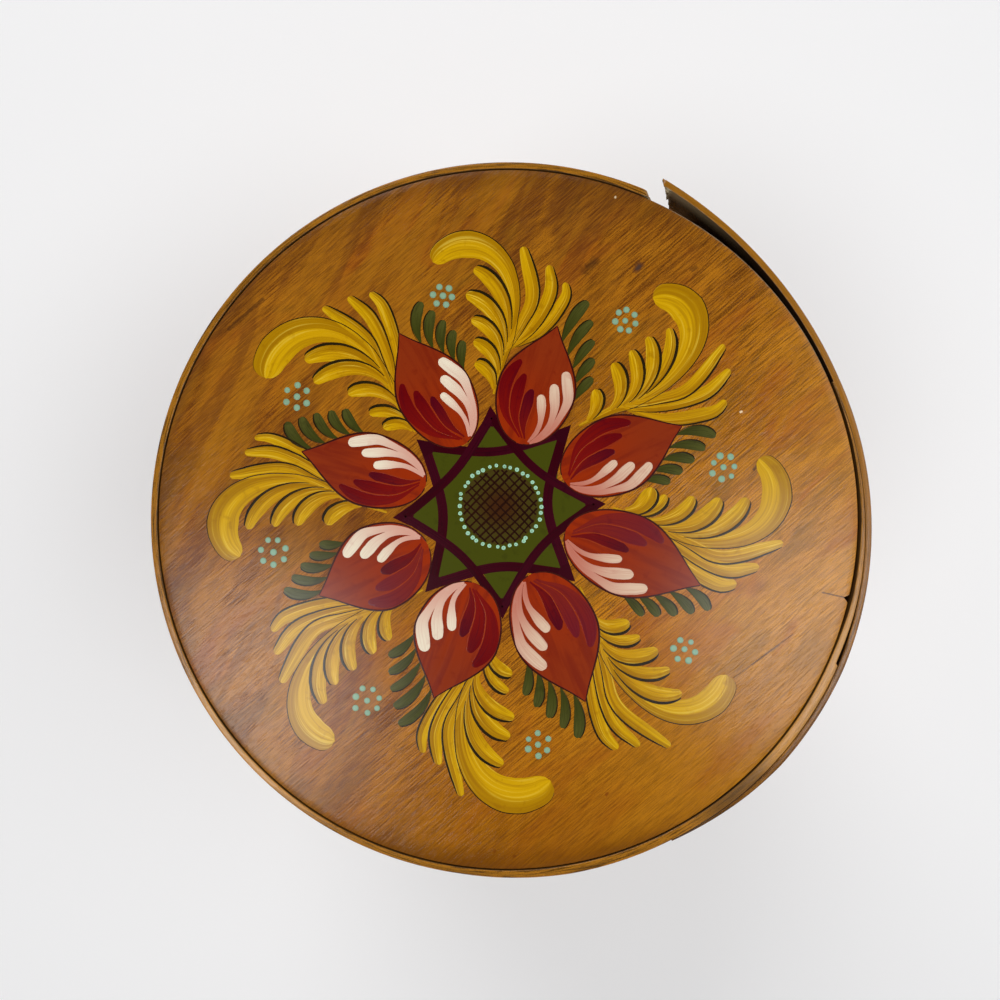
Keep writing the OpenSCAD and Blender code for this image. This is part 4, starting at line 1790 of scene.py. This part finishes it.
@dataclass
class Rosette:
    """The painted ornament: eight buds, eight scrolls and a starred medallion.

    Measures are in units of `unit` millimetres from its centre, angles in degrees.
    """

    top: float
    unit: float = 0.3918
    centre: Place = (-3.2, 4.9)
    coats: Coats = Coats()
    scrolls: tuple[Scroll, ...] = (
        Scroll(
            95.3, -9.4, (264.5, 3.2, 10.0, 14.5), 0.85,
            ((261, -10.3, 5.6), (246.5, -16.8, 5.6), (233.6, -21.5, 5.2)),
            ((239.5, 1, 5.8), (215, 3.8, 6.6), (189.6, 3.3, 5.5), (167.8, 3.9, 5.2), (146, 4.6, 5.2)),
            ((180, 20.5), (219, 15.6), (144, 9.3), (170, 7)),
        ),
        Scroll(
            48.3, -11.2, (272.5, -0.5, 5.6, 17), 0.85,
            ((276.7, -12.4, 5.4), (268, -17.5, 5.4), (249.8, -23.2, 5.6)),
            ((246, -1.6, 5.4), (225.4, 0.7, 5.6), (203.7, 1.8, 6), (183, 3.5, 6), (151, 2.9, 5.6)),
            ((171.5, 21.3), (223, 18.3), (131.5, 7), (158.6, 5.9)),
        ),
        Scroll(
            2.4, -12, (277, 1, 8.2, 16.5), 1.25,
            ((285, -9.6, 6), (266, -15.4, 6), (248.5, -20.4, 6.8)),
            ((247, -0.3, 6.5), (220, -0.1, 7), (193.4, 0.7, 6), (166.5, 1.8, 5), (153, 4.9, 7)),
            ((189.6, 19.8), (226.7, 15.8), (141, 8.5), (171.6, 5.7)),
        ),
        Scroll(
            -42.3, -12.5, (287.5, 1, 5.8, 15.7), 1.1,
            ((294, -12.3, 5.6), (276.7, -17.5, 5.6), (269, -21.8, 6)),
            ((260, -3.4, 6.4), (235, -1.4, 5.6), (212.6, 0.1, 6), (190.8, -0.6, 4.6), (173, 0.7, 6)),
            ((200, 18.9), (233, 15.8), (146, 6.8), (179.3, 4.9)),
        ),
        Scroll(
            -87.0, -13, (289, 1, 7.5, 18.4), 1.2,
            ((291.5, -10.6, 5.2), (265, -16.4, 5.6), (257.5, -20.4, 5.2)),
            ((257.5, -2.3, 6.4), (230.6, -0.5, 6.4), (211, 0.9, 5.6), (184.4, -0.3, 4.6), (167.8, 1.2, 5)),
            ((202, 18.4), (243, 15.3), (151, 7.7), (189.6, 4.3)),
        ),
        Scroll(
            -130.5, -12, (292, 1, 5.3, 15), 1.2,
            ((280.5, -10.7, 6.4), (268.5, -16.3, 6), (259.5, -21, 6)),
            ((264, -1.3, 6), (242, -2.2, 6), (219, -1.3, 5.5), (193.4, -0.2, 5.5), (173, 0.9, 5.5)),
            ((200, 19.2), (239.5, 15.3), (151, 6.8), (185.7, 3.5)),
        ),
        Scroll(
            185.5, -12.8, (278, -1, 5.4, 16.5), 0.75,
            ((271.6, -12, 5.6), (261, -17.5, 5), (255, -21.3, 4.6)),
            ((253, -0.5, 6), (226.7, -0.5, 6), (203.7, -0.3, 6), (174, 0.5, 6.4)),
            ((202, 18.9), (230.6, 15.3), (156, 7.7), (184.4, 6)),
        ),
        Scroll(
            140.8, -10.1, (272.5, 5, 10.5, 17), 0.7,
            ((267, -9.2, 5.6), (258.8, -14.9, 5), (250.5, -19.6, 5)),
            ((244, 2.3, 6.8), (224, 5.4, 6.8), (189, 2.6, 5.6), (160, 3.9, 5), (140.4, 5.3, 5)),
            ((202, 21.2), (229, 17.3), (156, 10.5), (183, 6.8)),
        ),
    )
    buds: tuple[Bud, ...] = (
        Bud((71.8, 119.6), (201.0, 120.2), 37.6),
        Bud((66.0, 73.2), (190.0, 72.4), 38.7),
        Bud((68.7, 24.4), (199.7, 24.0), 38.6),
        Bud((69.7, -19.4), (216.0, -21.3), 41.2),
        Bud((74.0, -65.0), (213.0, -66.3), 42.6),
        Bud((80.0, -107.6), (202.4, -109.1), 42.8),
        Bud((81.4, -152.3), (202.0, -153.9), 43.0),
        Bud((77.3, 163.6), (206.2, 164.4), 36.4),
    )
    cream: tuple[tuple[float, Path], ...] = (
        (0.15, (
            (0.03, -0.3), (0.09, -0.53), (0.216, -0.8), (0.36, -0.92),
            (0.46, -0.87), (0.58, -0.7), (0.667, -0.56),
        )),
        (0.14, (
            (0.035, -0.26), (0.124, -0.48), (0.235, -0.6), (0.36, -0.58), (0.456, -0.48), (0.542, -0.38),
        )),
        (0.118, ((0.035, -0.21), (0.124, -0.33), (0.216, -0.35), (0.327, -0.26), (0.43, -0.14))),
    )
    crimson: tuple[tuple[float, Path], ...] = (
        (0.18, ((0.05, 0.04), (0.18, 0.52), (0.31, 0.73), (0.44, 0.8), (0.55, 0.74), (0.65, 0.61))),
        (0.165, ((0.05, -0.02), (0.18, 0.29), (0.31, 0.42), (0.437, 0.44), (0.55, 0.41))),
    )
    plum: tuple[float, Path] = (
        0.15, ((0.05, -0.1), (0.14, 0.04), (0.235, 0.11), (0.345, 0.13), (0.45, 0.11))
    )
    pinker: tuple[int, ...] = (1, 2, 3, 4)
    # buds whose marks are mauve, partly own paint and partly painted sheen
    mauve_sheen_buds: tuple[int, ...] = (3, 4, 6)
    leaf_half: float = 5.4
    flowers: tuple[tuple[float, float, int, float, float], ...] = (
        (218.2, 105.2, 6, -10, 9.7), (224.6, 56, 7, -20, 10.5), (226.6, 10.1, 7, 2, 11.5),
        (233.2, -37.8, 6, -8, 11), (240.3, -80.9, 6, 28, 10.8), (234.2, -124.5, 7, 10, 12.6),
        (230.7, 191.2, 7, 14, 12.6), (231, 151.5, 6, 28, 11.3),
    )
    star: Path = (
        (101.3, 95.5), (108.3, 49.1), (106, 1.6), (106, -44.8),
        (112, -88.7), (113.5, -131.2), (107.5, 185.7), (107.3, 141),
    )
    notch: float = 63.0
    tip_inset: float = 11.5
    band_half: float = 4.55
    band_bows: tuple[float, ...] = (11.3, 17.6, 11.4, 11.6, 10, 13.9, 8.1, 11.5)
    lattice_radius: float = 38.0
    lattice_step: float = 6.8
    dot_ring: tuple[float, int] = (40.8, 38)
    ring_size: float = 2.0
    flower_dot: float = 3.2
    dot_wobble: float = 0.06
    seed: int = 1824

    def __post_init__(self) -> None:
        """Start with no marks."""
        self.rng = np.random.default_rng(self.seed)
        self.marks: dict[str, list[Stroke]] = {}

    def lay(self, places: Sequence[Sequence[float]]) -> np.ndarray:
        """Turn places of the ornament into places on the board."""
        return np.array(places, float) * self.unit + self.centre

    def height(self, coat: float, step: float = 0.0, order: int = 0) -> float:
        """Return the height of a coat of paint, a step higher for each mark of a row."""
        return self.top + coat + step * order

    def spread(self, points: Path) -> np.ndarray:
        """Turn polar points of the ornament into places on the board."""
        return self.lay([radius * heading(angle) for radius, angle in points])

    def add(self, name: str, stroke: Stroke, shake: float = 0.02) -> None:
        """Keep a mark for one colour, with a little of the hand in it.

        Args:
            name: Name of the colour.
            stroke: The mark.
            shake: How far the hand strays from one point to the next, in millimetres.
        """
        wander = np.cumsum(self.rng.normal(0, shake, stroke.path.shape), axis=0)
        stroke.path = stroke.path + wander - wander.mean(axis=0)
        stroke.half = stroke.half * self.rng.uniform(0.93, 1.07)
        self.marks.setdefault(name, []).append(stroke)

    def edge_line(self, stroke: Stroke, half: float, lift: float, side: int = 1) -> Stroke:
        """Return a thin line down one side of a mark.

        Args:
            stroke: The mark.
            half: Half width of the line.
            lift: Height on the board.
            side: 1 for the right side, -1 for the left one.
        Returns:
            The line.
        """
        ahead = np.gradient(stroke.path, axis=0)
        ahead /= np.linalg.norm(ahead, axis=1)[:, None]
        aside = np.column_stack([ahead[:, 1], -ahead[:, 0]]) * side
        reach = stroke.half + 0.5 * half
        path = (stroke.path + aside * reach[:, None])[2:-2]
        run = np.linspace(0, 1, len(path))
        return Stroke(path, half * (0.22 + 0.78 * np.sin(math.pi * run**1.3) ** 0.8), lift)

    def turned(self, scroll: Scroll, points: Sequence[Place]) -> np.ndarray:
        """Place points of a scroll on the board."""
        return self.spread([(r, scroll.gap + d) for r, d in points])

    def scroll(self, scroll: Scroll) -> None:
        """Paint one yellow scroll.

        Args:
            scroll: Which.
        """
        line, half = scroll.stem()
        rough = self.turned(scroll, line)
        path = curve_through(rough, 56, 1.2)
        runs = [lengths(points) for points in (rough, path)]
        wide = np.interp(runs[1] / runs[1][-1], runs[0] / runs[0][-1], half) * self.unit
        coats = self.coats
        stem = Stroke(path, round_off(path, wide), self.height(coats.stem))
        self.add("yellow", stem)
        self.add("olive", self.edge_line(stem, 0.5 * self.unit, self.height(coats.stem_edge)))
        marks = [(scroll.fan_path(i), row[2]) for i, row in enumerate(scroll.fan)]
        marks += [(scroll.curl_path(i), row[2]) for i, row in enumerate(scroll.curls)]
        for order, (points, half_width) in enumerate(marks):
            lift = self.height(coats.curl, coats.curl_step, order)
            curl = comma(self.turned(scroll, points), 1.2 * half_width * self.unit, lift, 0.3, 0.48)
            self.add("yellow", curl)
            edge = 1.0 if order < len(scroll.fan) else 1.45
            self.add("olive", self.edge_line(curl, edge * self.unit, self.height(coats.edge)))

    def petals(self, bud: Bud, wide: float, points: Path, order: int, pointed: bool) -> Stroke:
        """Return one mark inside a bud, kept clear of its edge.

        Args:
            bud: The bud.
            wide: Half width of the mark in the bud's half widths.
            points: Path as along and across.
            order: Which of its row, a hair higher than the one before.
            pointed: True for a pointed mark, False for a heavy head.
        Returns:
            The mark.
        """
        path = []
        for along, across in points:
            room = max(0.06, 0.94 * bud.width(along) - 0.6 * wide)
            path.append(bud.spot(along, min(room, max(-room, across))))
        half = wide * bud.half * self.unit
        lift = self.height(self.coats.petal, self.coats.petal_step, order)
        if pointed:
            return comma(self.lay(path), half, lift, 0.12, 0.3, 1.7)
        return dab(self.lay(path), half, lift)

    def bud(self, bud: Bud, index: int, draft: Draft) -> None:
        """Paint one red bud with its outline and its cream and crimson marks.

        Args:
            bud: The bud.
            index: Which of the eight.
            draft: Collects the red ground.
        """
        steps = np.linspace(0, 1, 33) ** 1.6
        side = [(u, -bud.width(u)) for u in steps] + [(u, bud.width(u)) for u in steps[-2:0:-1]]
        outline = self.lay([bud.spot(u, v) for u, v in side])
        grain = np.array([(2 * index + u, (v + 1) / 2) for u, v in side])
        coats = self.coats
        draft.plate(outline, self.height(coats.under), self.height(coats.bud), grain)
        swell = 0.45 + 0.55 * np.sin(np.linspace(0.2, math.pi - 0.2, 34))
        for sign in (-1.0, 1.0):
            steps = 0.99 * np.linspace(0, 1, 18) ** 1.6 + 0.002
            path = curve_through(self.lay([bud.spot(u, sign * bud.width(u)) for u in steps]), 34)
            self.add("maroon", Stroke(path, 0.95 * self.unit * swell, self.height(coats.outline)), 0.006)
        pale = "blush" if index in self.pinker else "cream"
        for order, (wide, points) in enumerate(self.cream):
            self.add(pale, self.petals(bud, wide, points, order, False))
        # mauve marks on buds 3, 4 and 6 are partly painted sheen
        dark = "mauve" if index in self.mauve_sheen_buds else "crimson"
        for order, (wide, points) in enumerate((*self.crimson, self.plum)):
            mark = self.petals(bud, wide, points, order, True)
            self.add(dark if order < len(self.crimson) else "plum", mark)
            lift = self.height(coats.petal_edge, coats.petal_step, order)
            self.add("ember", self.edge_line(mark, 0.7 * self.unit, lift))

    def leaf_row(self, scroll: Scroll, bud: Bud, count: int = 5) -> None:
        """Paint the leaves between a bud and the next scroll.

        Args:
            scroll: The scroll.
            bud: The bud.
            count: How many leaves.
        """
        for order in range(count):
            points = self.turned(scroll, scroll.leaf_path(order / (count - 1), bud))
            half = (self.leaf_half - 0.2 * order) * self.unit
            lift = self.height(self.coats.leaf, self.coats.leaf_step, order)
            leaf = comma(points, half, lift, 0.1, 0.5, 1.0)
            self.add("leaf", leaf)
            self.add("olive", self.edge_line(leaf, 0.7 * self.unit, self.height(self.coats.edge), -1))

    def medallion(self) -> tuple[Draft, Draft, Draft]:
        """Paint the interlaced star and its lattice.

        Returns:
            Grounds of the star and of the lattice, and the tips of the star.
        """
        coats = self.coats
        under = self.height(coats.under)
        tips = self.spread(self.star)
        inset = self.spread([(reach - self.tip_inset, angle) for reach, angle in self.star])
        centre = np.array(self.centre)
        corners = []
        for k, (reach, angle) in enumerate(self.star):
            following = self.star[(k + 1) % len(self.star)][1]
            middle = angle + ((following - angle + 180) % 360 - 180) / 2
            corners += [(reach - self.tip_inset - 4, angle), (self.notch, middle)]
        green = Draft("paint_green")
        outline = self.spread(corners)[::-1]
        green.plate(outline, under, self.height(coats.star), np.full((len(outline), 2), 0.5))
        ground = Draft("paint_lattice")
        rings, shades = [], []
        level = self.height(coats.lattice)
        for share, z in ((1.0, under), (1.0, level), (0.7, level), (0.4, level), (0.02, level)):
            reach = share * self.lattice_radius * self.unit
            rings.append(circle(reach, np.linspace(0, 360, 48, endpoint=False), z) + (*self.centre, 0.0))
            shades.append([(share, 0.5)] * 49)
        ground.loft(np.array(rings), np.array(shades))
        middles = []
        for k, bow in enumerate(self.band_bows):
            other = inset[(k + 2) % len(tips)]
            middle = (inset[k] + other) / 2
            middles.append(middle + toward(middle, centre) * bow * self.unit)
            path = curve_through(np.array([inset[k], middles[k], other]), 24)
            lift = self.height(coats.bands[k % 2])
            self.add("purple", Stroke(path, np.full(24, self.band_half * self.unit), lift))
        wedges = Draft("paint_purple_tips")
        for k, (apex, root) in enumerate(zip(tips, inset)):
            outward = toward(root, apex)
            sides = [self.flank(root, middles[m], outward) for m in (k, k - 2)]
            outline = np.array([apex, sides[1], root - outward * 9.5 * self.unit, sides[0]])
            grain = np.array([(2.0 * k + 0.5, 0.5)] * 4)
            wedges.plate(outline, under, self.height(coats.star_tip), grain)
        for angle in (45.0, -45.0):
            along, aside = heading(angle), heading(angle + 90)
            for shift in np.arange(-5, 6) * self.lattice_step:
                reach = math.sqrt(max(0.0, (self.lattice_radius - 1) ** 2 - shift**2))
                stray = shift + self.rng.normal(0, 0.7, 3)
                ends = self.lay([aside * w + along * s * reach for w, s in zip(stray, (-1.0, 0.0, 1.0))])
                half = np.full(12, self.rng.uniform(0.75, 1.1) * self.unit)
                self.add("umber", Stroke(curve_through(ends, 12), half, self.height(coats.thread)))
        return green, ground, wedges

    def flank(self, root: np.ndarray, middle: np.ndarray, outward: np.ndarray) -> np.ndarray:
        """Return a place on the outer edge of a band, a little way from its tip.

        Args:
            root: Where its middle line starts.
            middle: Where it is bound.
            outward: The way that the tip points.
        Returns:
            The place in millimetres.
        """
        ahead = toward(root, middle)
        aside = np.array((-ahead[1], ahead[0]))
        aside *= np.sign(aside @ outward)
        return root + (ahead * 10 + aside * self.band_half) * self.unit

    def ring_places(self) -> list[tuple[np.ndarray, float]]:
        """Return the place and size of the dots round the lattice."""
        reach, count = self.dot_ring
        turns = 360 * np.arange(count) / count + self.rng.normal(0, 0.9, count)
        return [(place, self.ring_size) for place in self.spread([(reach, turn) for turn in turns])]

    def flower_places(self) -> list[tuple[np.ndarray, float]]:
        """Return the place and size of the dots of the eight flowers."""
        places = []
        for radius, angle, petals, phase, reach in self.flowers:
            centre = self.spread([(radius, angle)])[0]
            around = [reach * self.unit * heading(phase + 360 * k / petals) for k in range(petals)]
            places += [(place, self.flower_dot) for place in (centre, *(centre + off for off in around))]
        return places

    def dots(self, places: Sequence[tuple[np.ndarray, float]]) -> list[Spot]:
        """Set dots on the board, each shifted and sized a little by chance.

        Args:
            places: Place and size of each.
        Returns:
            Place, aim and size of each.
        """
        spots = []
        for place, size in places:
            x, y = place + self.rng.normal(0, 0.18, 2)
            spots.append(((x, y, self.top), (0, 0, 1), size * self.unit * self.rng.uniform(0.92, 1.08)))
        return spots

    @staticmethod
    def dot_shape(hollow: bool) -> Draft:
        """Draw a dot of thick paint with a raised rim.

        Args:
            hollow: True if its middle is thin and darker, False if its rim is.
        Returns:
            The draft.
        """
        profile = [(1.0, -0.1), (1.0, 0.03), (0.8, 0.07), (0.45, 0.065), (0.02, 0.055)]
        draft = lathe("dot_model", profile, 12)
        corners = [draft.points[i] for face in draft.faces for i in face]
        reach = [math.hypot(x, y) for x, y, _ in corners]
        draft.grain = [(0.5, 1 - 0.5 * r if hollow else 0.5 + 0.5 * r) for r in reach]
        return draft

    def build(self, brush: Brush, scatter: Scatter) -> None:
        """Paint the whole ornament.

        Args:
            brush: Sweeps the strokes.
            scatter: Lays the dots.
        """
        red = Draft("paint_red")
        green, ground, wedges = self.medallion()
        for index, (bud, scroll) in enumerate(zip(self.buds, self.scrolls)):
            self.scroll(scroll)
            self.leaf_row(scroll, bud)
            self.bud(bud, index, red)
        plates = ((red, RED), (green, GREEN), (ground, LATTICE), (wedges, PURPLE))
        painted = [draft.make(finish) for draft, finish in plates]
        reds = (CRIMSON, PLUM, MAUVE, MAROON, EMBER)
        for finish in (YELLOW, OLIVE, LEAF, *reds, UMBER, CREAM, BLUSH, PURPLE):
            colour = finish.name.removeprefix("oil_")
            painted.append(brush.paint("paint_" + colour, finish, self.marks[colour]))
        for name, finish, places, hollow in (
            ("paint_ring_dots", PALE_MINT, self.ring_places(), True),
            ("paint_flower_dots", MINT, self.flower_places(), False),
        ):
            shape = self.dot_shape(hollow)
            painted.append(scatter.lay(name, shape, finish, self.dots(places), self.dot_wobble))
        for obj in painted:
            fit(obj, "lid", "lid_wood")


@dataclass(frozen=True)
class Lamp:
    """A round soft lamp: where it hangs and what it faces, its width and its power in watts."""

    name: str
    place: Triple
    aim: Triple
    size: float
    power: float

    def hang(self) -> None:
        """Put the lamp in the scene."""
        light = bpy.data.lights.new(self.name, "AREA")
        light.shape, light.size, light.energy = "DISK", self.size, self.power
        obj = bpy.data.objects.new(self.name, light)
        bpy.context.scene.collection.objects.link(obj)
        obj.location = self.place
        away = Vector(self.place) - Vector(self.aim)
        obj.rotation_euler = away.to_track_quat("Z", "Y").to_euler()


@dataclass
class Studio:
    """Floor, light and camera."""

    eye: Triple = (-3.2, 7.6, 581.0)
    field_of_view: float = 67.3
    sensor: float = 36.0
    world: float = 1.42
    floor_radius: float = 9000.0
    floor: Place = (-40.0, -0.05)
    lamps: tuple[Lamp, ...] = (
        Lamp("window", (-0.7, 2.3, 1.8), (0.0, 0.0, 0.2), 1.8, 33.0),
        Lamp("side", (1.6, 0.3, 1.8), (0.0, 0.0, 0.2), 1.4, 8.0),
        Lamp("left_lamp", (-0.45, -0.33, 1.3), (0.0, 0.0, 0.28), 0.46, 3.7),
        Lamp("right_lamp", (0.55, -0.22, 1.3), (0.0, 0.0, 0.28), 0.46, 3.1),
    )

    def build(self) -> None:
        """Set up the stage."""
        floor = Draft("floor")
        rim = circle(self.floor_radius, np.linspace(0, 360, 96, endpoint=False), 0.0)[:, :2]
        floor.plate(rim, *self.floor, rim * MM)
        floor.make(Table("table"))
        scene = bpy.context.scene
        scene.world = bpy.data.worlds.new("room")
        scene.world.use_nodes = True
        graph = Graph(scene.world.node_tree)
        scene.world.node_tree.nodes.clear()
        up = graph.split(graph.node("ShaderNodeTexCoord", None, None, "Generated"))[2]
        sky = graph.node("ShaderNodeBackground", None, {"Strength": (1.0 - up * up) ** 2 * self.world})
        graph.node("ShaderNodeOutputWorld", None, {"Surface": sky})
        for lamp in self.lamps:
            lamp.hang()
        self.camera(scene)
        scene.view_settings.view_transform = "Standard"

    def camera(self, scene: bpy.types.Scene) -> None:
        """Hang the camera straight above the lid.

        Args:
            scene: Scene that it belongs to.
        """
        data = bpy.data.cameras.new("camera")
        data.sensor_width = self.sensor
        data.lens = self.sensor / 2 / math.tan(math.radians(self.field_of_view / 2))
        data.clip_start = 0.01
        obj = bpy.data.objects.new("camera", data)
        scene.collection.objects.link(obj)
        obj.location = [v * MM for v in self.eye]
        scene.camera = obj


def dress_cad(nodes: Sequence[str], finish: Finish) -> None:
    """Give CAD nodes that are shown as they are a better surface.

    Args:
        nodes: Their names.
        finish: The surface.
    """
    for name in nodes:
        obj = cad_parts[name]
        obj.data.materials.clear()
        obj.data.materials.append(finish.material())
        log.info("dressed %s", name)


HOOPS = (
    ("base_hoop", 5.0, 32.0, 90.0),
    ("middle_hoop", 112.75, 26.0, 222.0),
    ("upper_hoop", 219.0, 28.0, 132.0),
)


def main() -> None:
    """Build every piece and the stage."""
    logging.basicConfig(level=logging.INFO, format="%(name)s: %(message)s")
    scatter, brush = Scatter(), Brush()
    wall = Wall()
    wall.build()
    for index, hoop in enumerate(HOOPS):
        WallHoop(*hoop, index, wall).build(scatter)
    dress_cad(("bottom_board_left", "bottom_board_middle", "bottom_board_right"), PLANK_WOOD)
    dress_cad(("peg_lock_pins",), PLANK_WOOD)
    Bail().build()
    Pegs().build()
    board_low, board_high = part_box("lid_board")
    hoop_low, hoop_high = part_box("lid_hoop")
    LidBoard(board_low.z / MM, board_high.z / MM).build()
    LidHoop(hoop_low.z / MM, hoop_high.z / MM).build(scatter)
    Rosette(board_high.z / MM).build(brush, scatter)
    Studio().build()
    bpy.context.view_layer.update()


if __name__ == "__main__":
    main()
